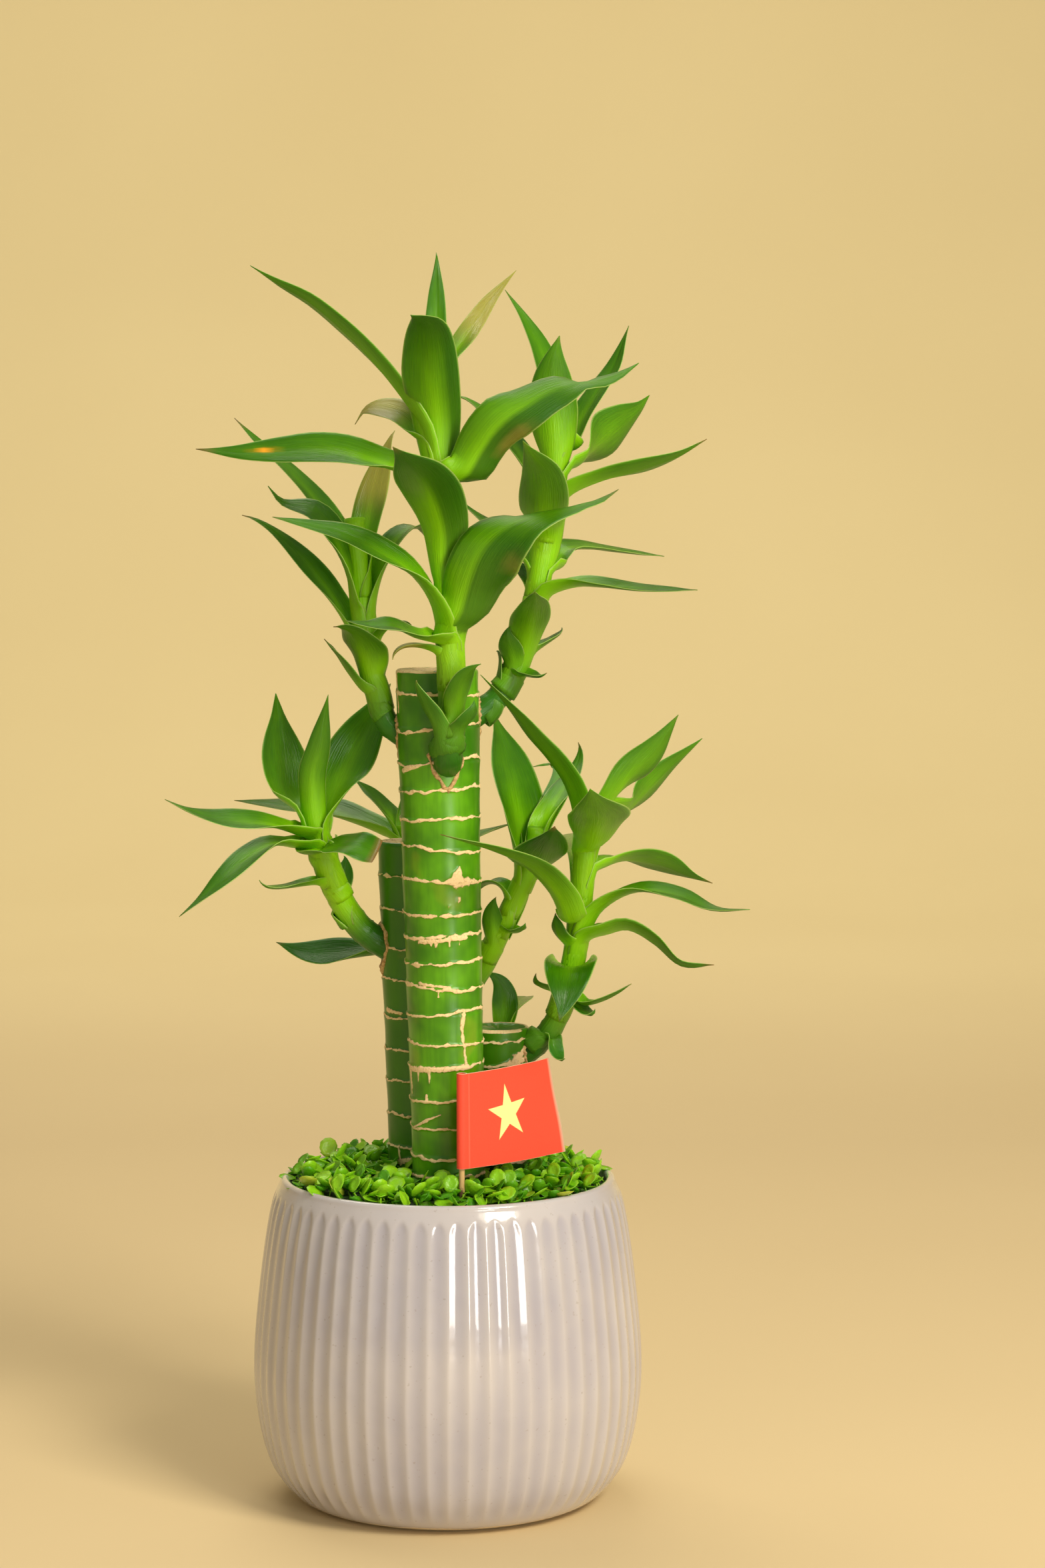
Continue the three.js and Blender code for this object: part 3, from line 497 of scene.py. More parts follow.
# Thin runners arch out of the cushion between the leaflets.
draw = random.Random("runners")
points, faces = [], []
for _ in range(RUNNERS):
    turn = draw.uniform(0, 6.28)
    reach = RUNNERS_REACH * math.sqrt(draw.random())
    heading = draw.uniform(0, 6.28)
    length = draw.uniform(*RUNNER_LENGTH)
    high = draw.uniform(*RUNNER_HIGH)
    x, y = reach * math.cos(turn), reach * math.sin(turn)
    faces += skin(RUNNER_STEPS, len(THREE_SIDES), len(points))
    for share in np.linspace(0, 1, RUNNER_STEPS):
        bow = heading + RUNNER_BOW * (share - 0.5)
        px, py = x + length * (share - 0.5) * math.cos(bow), y + length * (share - 0.5) * math.sin(bow)
        pz = cushion_height(x, y) - 0.6 + high * math.sin(math.pi * share)
        for side in THREE_SIDES:
            points.append((px + RUNNER_RADIUS * math.cos(side), py + RUNNER_RADIUS * math.sin(side),
                           pz + RUNNER_RADIUS * math.sin(side + 1)))
runners = new_piece("carpet_runners", points, faces, leaflet_finish, {"tone": np.full(len(points), 0.8)})
for piece in (cushion, leaflets, runners):
    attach(piece, "root")
    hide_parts("ground_cover")

# The canes are cut lengths of stem with a waxy green rind. Every old leaf left a thin, ragged corky ring,
# and here and there the rind is torn or scratched down to the pale cork. All but one cut top have dried.
CANE_BOTTOM = 20
CANE_HIDDEN = 94
CANE_AROUND = 120
CANE_STEP = 0.36
# A cane: its middle at both ends, its height, its radii, half the height of its rings, how much painted
# shade darkens its green, and the heights of each ring at the left, at the right and at the back.
CANES = {
    "tall": {
        "bottom": (2, -12), "top": (-3, -12), "height": 257, "radii": (10.2, 12.6), "half": 0.42, "deep": 0.0,
        "rings": [(103, 103.5, 103), (109, 109, 111), (118, 118.5, 120), (126.3, 127, 128), (136, 137.3, 138),
                  (143.8, 144, 145), (152, 154.8, 152), (161.6, 160.3, 162), (167.8, 169.4, 169),
                  (175.9, 177.5, 177), (183.2, 183.5, 186), (194.2, 192.6, 194), (204.3, 201.7, 204),
                  (211.6, 212.8, 213), (220.1, 221.8, 222), (228.1, 230.9, 229), (238.1, 240.9, 240),
                  (250.2, 248.9, 251)],
    },
    "mid": {
        "bottom": (-6.8, 8), "top": (-12.4, 8), "height": 203, "radii": (8.8, 9.1), "half": 0.34, "deep": 0.8,
        "rings": [(108.7, 108, 109), (118.9, 118.3, 119), (129.4, 129, 129), (139, 138.6, 139),
                  (148.9, 148.5, 149), (160.9, 160.3, 160), (170.3, 170, 171), (182.5, 182, 182),
                  (192.7, 192.3, 193)],
    },
    "short": {
        "bottom": (14.5, 6), "top": (15.7, 6), "height": 145.5, "radii": (9.3, 9.6), "half": 0.42,
        "deep": 0.5,
        "rings": [(104, 104, 105), (114, 115, 114), (125, 124, 126), (133.5, 135.5, 135), (141.5, 142, 141)],
    },
}
# Torn places in the rind: degrees round from the front, heights, and half widths at both ends.
TEARS = {
    "tall": [
        ((2, 193.2), (24, 194.4), 0.35, 1.3), ((24, 193.6), (27, 198), 2.4, 0.25),
        ((27, 193.6), (62, 193), 1.9, 0.5), ((16, 193.6), (19, 196.4), 0.9, 0.2),
        ((-37, 175.2), (37, 176.6), 0.75, 0.55), ((-11, 175.6), (-10, 172.6), 0.5, 0.2),
        ((8, 175.6), (9, 174), 0.4, 0.2), ((25, 176.2), (25, 174.2), 0.35, 0.2),
        ((-18, 175.4), (-17, 174), 0.3, 0.2), ((29, 153.1), (26, 148.5), 0.9, 0.55),
        ((26, 148.5), (29, 142), 0.55, 0.45), ((29, 142), (33, 137.2), 0.45, 0.6),
        ((-74, 135.8), (33, 137.2), 0.95, 0.8), ((-70, 135.6), (-69, 128.2), 0.9, 0.3),
        ((-48, 135.6), (-47, 131.8), 0.55, 0.2), ((-27, 135.8), (-26, 131.6), 0.5, 0.2),
        ((-33, 128.4), (-33, 127), 0.5, 0.6), ((-69, 117.6), (-36, 120.6), 0.35, 0.4),
        ((-36, 120.6), (-11, 122.8), 0.5, 0.2), ((26, 188.6), (25, 187.2), 0.45, 0.3),
        ((10, 186.2), (10, 185.2), 0.3, 0.2), ((-40, 162.4), (8, 161.6), 0.6, 0.3),
        ((-10, 161), (-9, 158.6), 0.3, 0.15), ((-62, 226.6), (-30, 228), 0.6, 0.4),
        ((40, 242.6), (62, 244.8), 0.5, 0.3), ((-74, 257), (-72, 244), 0.5, 0.4),
        ((150, 176), (160, 168.5), 0.8, 0.3), ((205, 211), (240, 214), 1.1, 0.5),
        ((120, 127), (122, 120.5), 0.8, 0.3),
    ],
    "mid": [
        ((-60, 151), (-20, 150.4), 0.8, 0.4), ((-40, 104), (30, 106.4), 0.9, 0.5),
        ((-38, 109), (-36, 103), 0.5, 0.3), ((170, 171), (190, 166), 0.9, 0.3),
    ],
    "short": [
        ((35, 136), (60, 139.5), 2.0, 0.6), ((20, 135), (75, 136.4), 1.0, 0.8),
        ((200, 124), (215, 119), 0.8, 0.3),
    ],
}
RING_SIDES = (-180, -55, 55, 180)
SCAR_HEIGHT = 0.28
CUT_RIM = 0.9
CUT_ROUND = 1.0
# The cut top of this cane is still green.
GREEN_TOP = "short"
RIND_LIGHT = (0.13, 0.41, 0.003, 1)
RIND_DARK = (0.035, 0.17, 0.001, 1)
RIND_YELLOW = (0.36, 0.36, 0.02, 1)
RIND_FOOT = (0.012, 0.10, 0.03, 1)
CORK_PALE = (0.88, 0.66, 0.36, 1)
CORK_BROWN = (0.40, 0.22, 0.08, 1)
PITH_PALE = (0.70, 0.52, 0.28, 1)
PITH_BROWN = (0.34, 0.21, 0.09, 1)

# Fibres that run along a rind, a leaf or a piece of wood: noise drawn out along one of its directions.
fibres, given = new_tree("fibres", "Shader", ("Fibre", "Float"), ("Place", "Vector", None),
                         ("Stretch", "Vector", None), ("Size", "Float", 600.0), ("Detail", "Float", 4.0))
drawn_out = put(fibres, "ShaderNodeMapping", {"Vector": given["Place"], "Scale": given["Stretch"]}).outputs[0]
put(fibres, "NodeGroupOutput", {"Fibre": noise_on(fibres, drawn_out, given["Size"], given["Detail"])})


def fibre_on(tree, place, stretch, size, detail):
    """The fibres, placed in a material."""
    values = {"Place": place, "Stretch": stretch, "Size": size, "Detail": detail}
    return put(tree, "ShaderNodeGroup", values, node_tree=fibres).outputs["Fibre"]


rind, tree, shader, place = new_finish("waxy_rind", roughness=0.3, specular_ior_level=0.45,
                                       subsurface_weight=0.1, subsurface_scale=0.003,
                                       subsurface_radius=(0.5, 1.0, 0.1))
cut = ramp(tree, share_of(tree, "cut"), 0.4, 0.6)
fibre = fibre_on(tree, place, (1.0, 1.0, 0.12), 620.0, 4.0)
uneven = calc(tree, "MULTIPLY_ADD", cloud(tree, place, 60), 0.012, axes(tree, place)["Z"])
# The green of each cane is darkened by its share of painted shade, most on the mid cane, which stands in the
# tall one's shadow.
green = coats(tree, RIND_DARK, (cloud(tree, place, 48), RIND_LIGHT), (share_of(tree, "deep"), RIND_DARK),
              (ramp(tree, fibre, 0.4, 0.75, 0, 0.4), RIND_DARK),
              (ramp(tree, cloud(tree, place, 34), 0.88, 1.0, 0, 0.25), RIND_YELLOW),
              (ramp(tree, uneven, 0.113, 0.103, 0, 0.75), RIND_FOOT))
crumbs = noise_on(tree, place, 1500.0, 4.0)
ragged = calc(tree, "MULTIPLY_ADD", noise_on(tree, place, 520.0, 3.0), 0.55, -0.275)
edge = calc(tree, "ADD", share_of(tree, "scar"), ragged)
corky = ramp(tree, edge, 0.47, 0.55)
cork = coats(tree, CORK_PALE, (ramp(tree, crumbs, 0.52, 0.75, 0, 0.6), CORK_BROWN),
             (ramp(tree, edge, 0.62, 0.5, 0, 0.7), CORK_BROWN))
pith = put(tree, "ShaderNodeTexVoronoi", {"Vector": place, "Scale": 900.0}).outputs["Distance"]
wood = coats(tree, PITH_BROWN, (ramp(tree, pith, 0.1, 0.5), PITH_PALE))
dry = calc(tree, "MAXIMUM", corky, cut)
height = calc(tree, "MULTIPLY_ADD", times(tree, crumbs, dry), 1.4, times(tree, fibre, 0.15))
dress(shader, coats(tree, green, (corky, cork), (cut, wood)), ramp(tree, dry, 0, 1, 0.3, 0.9),
      (height, 0.45, 0.0004))


def between(ends, share):
    """A value on the way from one end to the other."""
    return ends[0] + share * (ends[1] - ends[0])


def cane_axis(cane, height):
    """Where the middle of a cane is at a height, and its radius there."""
    share = (height - CANE_BOTTOM) / (cane["height"] - CANE_BOTTOM)
    x, y = (between(ends, share) for ends in zip(cane["bottom"], cane["top"]))
    return x, y, between(cane["radii"], share)


def rough_over(x, y, z):
    """The smooth random height at many places."""
    return np.array([rough(*spot) for spot in np.broadcast(x, y, z)])


def stroke(x, z, start, end, wide_start, wide_end):
    """How deep a spot lies in a torn streak between two places: 1 at its middle, under 0 outside it."""
    run_x, run_z = end[0] - start[0], end[1] - start[1]
    share = np.clip(((x - start[0]) * run_x + (z - start[1]) * run_z) / (run_x ** 2 + run_z ** 2), 0, 1)
    away = np.hypot(x - start[0] - share * run_x, z - start[1] - share * run_z)
    return 1 - away / between((wide_start, wide_end), share)


def cane_scars(name, cane, degrees, height, radius):
    """How deep each spot of a cane lies in cork: over 0.5 inside a scar. Degrees go round from the front."""
    own = len(name)
    wave = rough_over(degrees / 7, height / 3, own)
    fine = rough_over(degrees / 2.2, height / 1.1, 9 + own)
    best = np.full(len(height), -3.0)
    turned = np.where(degrees > 180, degrees - 360, degrees)
    for index, (left, right, back) in enumerate(cane["rings"]):
        level = np.interp(turned, RING_SIDES, (back, left, right, back))
        near = np.abs(height - level) < 3
        turn = np.radians(degrees[near])
        drift = rough_over(np.sin(turn) * 2.6 + 3 * index, np.cos(turn) * 2.6, index)
        weight = rough_over(np.cos(turn) * 5, np.sin(turn) * 5 + index, 7)
        half = np.maximum(0.12, cane["half"] * (1.05 + 1.1 * weight))
        away = np.abs(height[near] - level[near] - 0.7 * drift - 0.3 * wave[near]) / half
        best[near] = np.maximum(best[near], 1 - away)
    for start, end, wide_start, wide_end in TEARS[name]:
        spot = np.radians((degrees - start[0] + 180) % 360 - 180) * radius
        far = math.radians(end[0] - start[0]) * radius.mean()
        near = np.abs(height - (start[1] + end[1]) / 2) < 12
        depth = stroke(spot[near], height[near], (0, start[1]), (far, end[1]), wide_start, wide_end)
        best[near] = np.maximum(best[near], depth)
    return np.clip(0.5 + 0.4 * best + 0.12 * wave + 0.2 * fine, 0, 1) * (best > -1.5)


for name, cane in CANES.items():
    top = cane["height"]
    heights = np.concatenate([np.linspace(CANE_BOTTOM, CANE_HIDDEN, 8),
                              np.arange(CANE_HIDDEN + 0.5, top - CUT_ROUND, CANE_STEP),
                              [top - 0.7, top - 0.3, top - 0.08]])
    grid_height = np.repeat(heights, CANE_AROUND)
    degrees = np.linspace(0, 360, CANE_AROUND, endpoint=False)
    grid_degrees = np.tile(degrees, len(heights))
    x, y, radius = cane_axis(cane, grid_height)
    scars = cane_scars(name, cane, grid_degrees, grid_height, radius)
    stops = np.array([CANE_HIDDEN] + [sum(ring) / 3 for ring in cane["rings"]] + [top])
    index = np.clip(np.searchsorted(stops, grid_height) - 1, 0, len(stops) - 2)
    share = (grid_height - stops[index]) / (stops[index + 1] - stops[index])
    swell = 0.22 * np.clip(share, 0, 1) ** 3 - 0.12
    turn = np.radians(grid_degrees)
    lump = rough_over(np.cos(turn) * 1.5, np.sin(turn) * 1.5, grid_height / 16)
    rounded = grid_height > top - CUT_ROUND
    rounding = np.where(rounded, (grid_height - top + CUT_ROUND) ** 2 * 0.8, 0)
    relief = SCAR_HEIGHT * np.clip((scars - 0.4) * 4, 0, 1)
    full = radius - 0.05 + swell + 0.25 * lump + relief - rounding
    angle = np.radians(grid_degrees - 90)
    points = np.stack([x + full * np.cos(angle), y + full * np.sin(angle), grid_height], 1)
    scars = np.where(rounded, np.clip(0.62 + lump, 0, 1), scars)
    cap, cap_cut, cap_scar = [], [], []
    wide = radius[-1]
    for inset, drop in ((CUT_RIM, 0), (CUT_RIM * 1.7, 0.5), (0.45 * wide, 0.7), (0.93 * wide, 1.1)):
        reach = max(0.3, wide - inset)
        for turn in degrees:
            sag = drop + 0.25 * rough(turn / 12, inset * 2, 4)
            cap.append((x[-1] + reach * math.cos(math.radians(turn - 90)),
                        y[-1] + reach * math.sin(math.radians(turn - 90)), top - max(0, sag)))
            cap_cut.append(0.0 if inset == CUT_RIM or name == GREEN_TOP else 1.0)
            cap_scar.append(0.9 if inset == CUT_RIM else 0.0)
    points = np.vstack([points, cap])
    shares = {"scar": np.concatenate([scars, cap_scar]),
              "cut": np.concatenate([np.zeros(len(grid_height)), cap_cut]),
              "deep": np.full(len(points), cane["deep"])}
    piece = new_piece("ringed_cane_" + name, points, skin(len(heights) + 4, CANE_AROUND), rind, shares)
    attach(piece, "root")
    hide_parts("cane_" + name)

# The shoots broke out of buds on the canes. Each is a stem of leaf bases wrapped round each other, and
# its glossy, pointed leaves bend out of it. The first short ones at its foot hardly opened.
STEM_AROUND = 16
STEM_ROWS = 40
BLADE_ACROSS = 11
BLADE_ROWS = 26
SHEATH_ROWS = 5
SHEATH_LONGEST = 14.0
BLADE_THICK = 0.62
MARGIN_THICK = 0.2
CREASE_DEPTH = 0.25
CREASE_WIDE = 0.12
WIDEST_AT = 0.4
MIDRIB_STEPS = 160
ROOT_SUNK = 0.25
ROOT_PULL = 0.45
WRAP_CLOSED = 2.9
WRAP_ROOT = 1.9
WRAP_TIP = 0.3
FOOT_FROM = 4
FOOT_SHARE = 0.3
LEAF_BRIGHT = (0.14, 0.42, 0.0, 1)
LEAF_DARK = (0.012, 0.085, 0.0, 1)
# The pale green of young leaf bases, also used as painted light shining through the keel and base.
LEAF_YOUNG_AND_LIT = (0.27, 0.62, 0.004, 1)
LEAF_UNDER = (0.15, 0.38, 0.002, 1)
LEAF_TAN = (0.38, 0.31, 0.06, 1)
LEAF_MARGIN = (0.42, 0.60, 0.16, 1)
LEAF_BROWN = (0.20, 0.10, 0.035, 1)
LEAF_SPOT = (0.90, 0.40, 0.02, 1)
STEM_FOOT = (0.03, 0.15, 0.008, 1)
# A leaf: the height of its root on the stem, points along its midrib up to the tip, and its width. Two
# angles may follow: how far its root is turned round the stem, and how far it rolls.
SHOOTS = {
    "tall_front": {
        "cane": "tall", "collar": (0, -24.2, 231), "radii": (4.6, 3),
        "stem": [(0, -20, 228), (0.4, -28.5, 233.5), (1.2, -31, 247), (1, -31, 268), (-0.5, -30, 292),
                 (-2.4, -29, 320), (-3.7, -28, 345)],
        "leaves": [
            (237, [(-6, -35, 247), (-9, -38, 255)], 9),
            (238, [(6, -36, 243), (8, -37, 249)], 8),
            (244, [(4, -39, 253), (10, -43, 260)], 9),
            (262, [(-4, -38, 266.5), (-9, -42, 268), (-15.5, -46, 271), (-22.5, -49, 271.5),
             (-29.5, -51, 273)], 13, 0, -25),
            (261, [(-9, -35, 265), (-16, -38, 261)], 6),
            (263, [(-5, -36, 279), (-10, -37, 286), (-18.5, -38, 292), (-29, -40, 297.5), (-40, -41, 300.5),
             (-51, -42, 303)], 14, 0, -40),
            (265, [(4.5, -37, 273.5), (6.5, -39, 280), (8.5, -42, 286), (11, -44, 291.5), (14.5, -45, 296),
             (20, -45, 300), (26.5, -44, 303), (38, -42, 306), (45, -40, 308), (50.5, -38, 311)],
             22, -65, -45),
            (284, [(-1.5, -36, 298), (-4, -46, 307.5), (-7, -60, 314), (-11, -76, 319), (-15, -88, 323)],
             19.5, 0, 12),
            (312, [(-3.5, -34, 332), (-4.5, -41, 342), (-5, -51, 352), (-6, -64, 358.5), (-10, -80, 360)],
             18, 0, 14),
            (307, [(5, -37, 315), (9, -39, 321.5), (13, -42, 327.5), (17.5, -44, 332), (22.5, -44, 335),
             (29.5, -43, 339), (37, -42, 341.5), (44, -40, 342.5), (50.5, -38, 344.5), (56.5, -36, 348)],
             16.5, -75, -10),
            (316, [(-7, -30, 329), (-15, -31, 341), (-23, -31, 350.5), (-31, -29, 358.5), (-40.5, -27, 366.5),
             (-50, -25, 372), (-58, -24, 377)], 12.5, 0, 28),
            (297, [(-15, -26, 317), (-22.5, -25, 319.5), (-30.5, -24, 322), (-40, -22, 323),
             (-49.5, -20, 322.5), (-62.5, -18, 322), (-75, -16, 323)], 13, 0, -60),
            (318, [(-8.5, -24, 327), (-13, -22, 332.5), (-19, -18, 335), (-24.5, -14, 334.5),
             (-27.5, -10, 330.5)], 12, 0, -35),
            (338, [(-3, -25, 363), (-3, -22, 381)], 7),
            (336, [(0.5, -24, 347.5), (4.5, -21, 354.5), (9, -18, 361.5), (13.5, -14, 368), (21, -10, 376.5)],
             6.5, 0, 60),
        ],
    },
    "tall_left": {
        "cane": "tall", "collar": (-14.8, -9.5, 238), "radii": (3.8, 3.1),
        "stem": [(-11, -10, 235), (-18.4, -9, 241), (-21, -8, 250), (-23.2, -6, 258), (-25.4, -3, 273),
                 (-27.1, 0, 290), (-28.1, 2, 302)],
        "leaves": [
            (247, [(-26, -9, 251), (-30, -10, 256.5), (-33.5, -11, 262), (-37, -12, 266)], 9),
            (254, [(-26, -14, 264), (-34, -20, 270)], 16),
            (260, [(-41, 7, 286), (-63, 14, 303)], 10, 0, -20),
            (267, [(-30, -6, 286), (-34, -4, 296), (-40, -2, 304), (-50, -3, 307), (-54, -5, 312)],
             15, 0, -30),
            (277, [(-32, 6, 293.5), (-40, 14, 307), (-48.5, 20, 316.5), (-58, 26, 325), (-66, 30, 333)], 11),
            (285, [(-22, 12, 311), (-16, 22, 329)], 11),
            (273, [(-15, 4, 296), (-1, 14, 284)], 13),
            (263, [(-17, -10, 270), (-10, -12, 268)], 6),
        ],
    },
    "tall_right": {
        "cane": "tall", "collar": (9.6, -8, 244), "radii": (3.9, 3.1),
        "stem": [(6, -9.5, 241), (13.2, -7.5, 246), (17, -7, 250), (21.7, -6, 259), (25.8, -6, 273),
                 (28.6, -5, 288), (31.9, -4, 308), (33.9, -4, 326)],
        "leaves": [
            (254, [(25, -14, 255), (30, -18, 256)], 7),
            (260, [(31, -4, 265), (35, -2, 269)], 8),
            (256, [(19, -13, 263), (19, -15, 270)], 8),
            (250, [(16, -8, 257), (15, -5, 262)], 6),
            (258, [(25, -18, 270), (26, -40, 281)], 13),
            (274, [(31, -8, 279), (39, -10, 282), (47, -14, 282), (59, -18, 281), (75, -22, 281)], 12, 0, 12),
            (280, [(33, 6, 287), (36, 8, 292), (43, 14, 293), (52, 20, 292), (68, 30, 290)], 12, 0, 15),
            (279, [(24, 2, 285), (21, 6, 290)], 7),
            (288, [(29, -20, 303), (28, -38, 315), (22, -58, 325)], 16),
            (303, [(38, -6, 310), (47, -8, 314), (58, -12, 317), (69, -15, 321), (78, -16, 326)], 13, 0, -18),
            (311, [(40, 4, 318.5), (45.5, 10, 324), (53, 16, 330), (59.5, 22, 335.5), (63, 26, 340)],
             20, 0, -75),
            (318, [(32, -8, 335), (34, -10, 357)], 16),
            (320, [(37.5, 6, 323), (41.5, 8, 332.5), (47, 10, 341.5), (51.5, 12, 348.5), (56, 14, 361)], 11),
            (317, [(32, 0, 340), (29, 8, 353), (24, 13, 363), (18, 16, 372)], 9),
            (302, [(17, 14, 329), (1, 20, 338)], 10),
            (284, [(17, 8, 297), (4, 16, 308)], 9),
        ],
    },
    "mid_left": {
        "cane": "mid", "collar": (-19.9, 7, 171.5), "radii": (4.5, 3.5),
        "stem": [(-16.5, 7.5, 169), (-23.5, 6, 173.5), (-27.4, 5, 177), (-32.6, 3, 185), (-36.2, 1, 194),
                 (-39, 0, 203), (-40.5, -1, 212)],
        "leaves": [
            (189, [(-47, -6, 190.5), (-57, -12, 193)], 7),
            (185, [(-32, 9, 192), (-32, 11, 198)], 7),
            (195, [(-46.5, -10, 203), (-52.5, -13, 204), (-59, -17, 201), (-66, -23, 195.5),
             (-73, -27, 189.5), (-80, -30, 184)], 11, 0, -15),
            (200, [(-45, -8, 206.5), (-52.5, -13, 209.5), (-61.5, -17, 211), (-70, -20, 212.5),
             (-77.5, -22, 215), (-84.5, -23, 218.5)], 13, 0, -30),
            (205, [(-49, 6, 217), (-51, 10, 227), (-52, 13, 236), (-53, 16, 248)], 21),
            (205, [(-41, -5, 218), (-41, -6, 225), (-39, -7, 233), (-36, -8, 249)], 9),
            (203, [(-35, 2, 216.5), (-31, 6, 225.5), (-27, 9, 234), (-22.5, 12, 242), (-17.5, 16, 251)],
             18, 0, 45),
            (197, [(-40, -10, 201), (-34, -14, 203), (-28, -18, 204), (-21, -20, 202)], 13, 0, 30),
        ],
    },
    "mid_back": {
        "cane": "mid", "collar": (-12.6, 17, 161), "radii": (3.8, 2.4),
        "stem": [(-12, 13.5, 158.5), (-13.2, 20.5, 164), (-14.3, 23.5, 176), (-13.6, 25, 193),
                 (-13.6, 26, 206)],
        "leaves": [
            (202, [(-20, 32, 211), (-30, 38, 220)], 9),
            (198, [(-19, 30, 202.5), (-28, 36, 206), (-37, 42, 209), (-51, 50, 210), (-68.5, 60, 211)],
             14, 0, -20),
            (204, [(-11, 30, 214), (-6, 34, 224)], 8),
            (167, [(-19, 24, 166.5), (-26, 24, 165.5), (-35, 27, 165.5), (-42, 29, 165.5), (-48.5, 31, 166.5),
             (-54, 32, 168.5)], 13, 0, -45),
            (193, [(-11, 60, 205), (-7, 84.5, 211)], 14),
            (186, [(6, 40, 200), (22, 52, 204)], 11),
        ],
    },
    "mid_right": {
        "cane": "mid", "collar": (-3.2, 12, 150), "radii": (3.9, 2.7),
        "stem": [(-6.5, 10.4, 148.5), (0, 13, 152), (4, 14, 154.6), (10.5, 13, 162), (15.8, 10, 173),
                 (21.4, 8, 185), (25.9, 6, 197), (27.7, 5, 207)],
        "leaves": [
            (170, [(14, 6, 177), (15, 3, 186)], 7),
            (174, [(21, 5, 175), (24, 2, 178)], 7),
            (190, [(20, 10, 219), (14, 14, 243)], 25),
            (191, [(27, -6, 196), (29, -16, 202), (32, -32, 211)], 19),
            (184, [(16, 10, 189), (8, 16, 185)], 9),
            (201, [(35, 20, 218), (27, 30, 224)], 9),
            (205, [(37, 18, 219), (41, 26, 232)], 9),
            (197, [(25, 44, 208), (21, 70, 210)], 13),
        ],
    },
    "short_right": {
        "cane": "short", "collar": (25, 5, 137.5), "radii": (3.9, 2.8),
        "stem": [(21.5, 5.5, 135), (28, 4.5, 140.5), (33, 2.5, 147), (36.6, 0, 158), (39.4, -2, 171),
                 (40.9, -4, 186), (42.1, -5, 200), (44.1, -5, 213)],
        "leaves": [
            (142, [(33, -1, 139), (36, -5, 137)], 6),
            (153, [(41, -6, 152), (45, -10, 153)], 7),
            (152, [(42, -6, 154), (48, -9, 156), (56, -12, 161)], 6),
            (156, [(30, -6, 159), (27, -10, 164)], 6),
            (160, [(38, -11, 166), (37, -18, 166), (36, -24, 162), (35, -27, 157), (33.5, -29, 152)], 17),
            (171, [(35, -6, 174), (33, -6, 182)], 8),
            (168, [(49, -7, 176), (55, -9, 177.5), (63, -11, 173.5), (71, -13, 167), (81, -14, 167)],
             13, 0, -30),
            (173, [(43, -4, 176), (47, -6, 183), (57, -9, 189), (70, -13, 188), (80, -18, 184.5),
             (91, -24, 185)], 12, 0, 10),
            (176, [(37, -12, 180), (34, -18, 188), (26, -27, 198), (13, -38, 205), (-2, -46, 210)], 13),
            (190, [(48, 2, 195.5), (55, 8, 197), (66, 14, 195), (75, 19, 191), (83, 22, 188)], 13, 0, -30),
            (198, [(44, -12, 203), (45, -20, 208), (45.5, -32, 213), (44, -46, 218), (41.5, -60, 224.5)], 20),
            (209, [(49, -8, 215.5), (55, -10, 224), (62.5, -11, 232), (70, -12, 243)], 12.5, 0, -50),
            (206, [(55, 8, 212), (63, 16, 219), (71, 22, 226), (80, 28, 233)], 14, 0, -70),
            (194, [(40.5, -7, 207.5), (37.5, -12, 221), (32, -16, 230), (26.5, -19, 236.5), (21.5, -22, 243),
             (16, -25, 249.5), (10, -28, 256)], 11),
            (190, [(42, 30, 201), (45, 56, 200)], 13),
        ],
    },
    "short_back": {
        "cane": "short", "collar": (16.3, 15.5, 129), "radii": (3, 2),
        "stem": [(16, 12, 127), (16.8, 18.5, 131.5), (17.2, 21, 137), (17, 22.5, 144)],
        "leaves": [
            (140, [(18, 28, 150), (12, 30, 159)], 9),
            (141, [(22, 40, 148), (26, 60, 146)], 10),
        ],
    },
}
# Leaves that differ, each named by its shoot and its place in the list: some are tan, some have painted
# shade over their upper half, one has an orange spot, and one is torn off before its tip.
TAN_LEAVES = {("tall_front", 12), ("tall_front", 14), ("tall_front", 4), ("tall_left", 5)}
SHADED_TOPS = {("tall_front", 7), ("tall_front", 8), ("mid_right", 3)}
SPOTTED_LEAF = ("tall_front", 11)
SPOT_AT = (0.76, -0.1)
TORN_LEAF = ("mid_left", 7)
TORN_KEPT = 0.72
TAN_SHARE = 0.75
SHADE_SHARE = 0.85
DRY_TIPS = (0.0, 0.3, 0.6, 1.0)
# On a leaf whose far half lies in shade, that half is painted darker. Given: where the painted shade begins,
# how far up it reaches, and how strongly and where its edge is worn.
SHADED_HALVES = {("tall_front", 6): (-0.2, 0.5, 0.3, (0.36, 0.5)), ("tall_front", 7): (0.1, 0.8, 0, (0.3, 0.5)),
          ("tall_front", 8): (0.35, 0.8, 0, (0.3, 0.5)), ("tall_front", 9): (0.05, 0.62, 0.75, (0.28, 0.5))}
CARRIED = ("along", "across", "tone", "under", "brown", "spot", "tan", "foot", "dark")

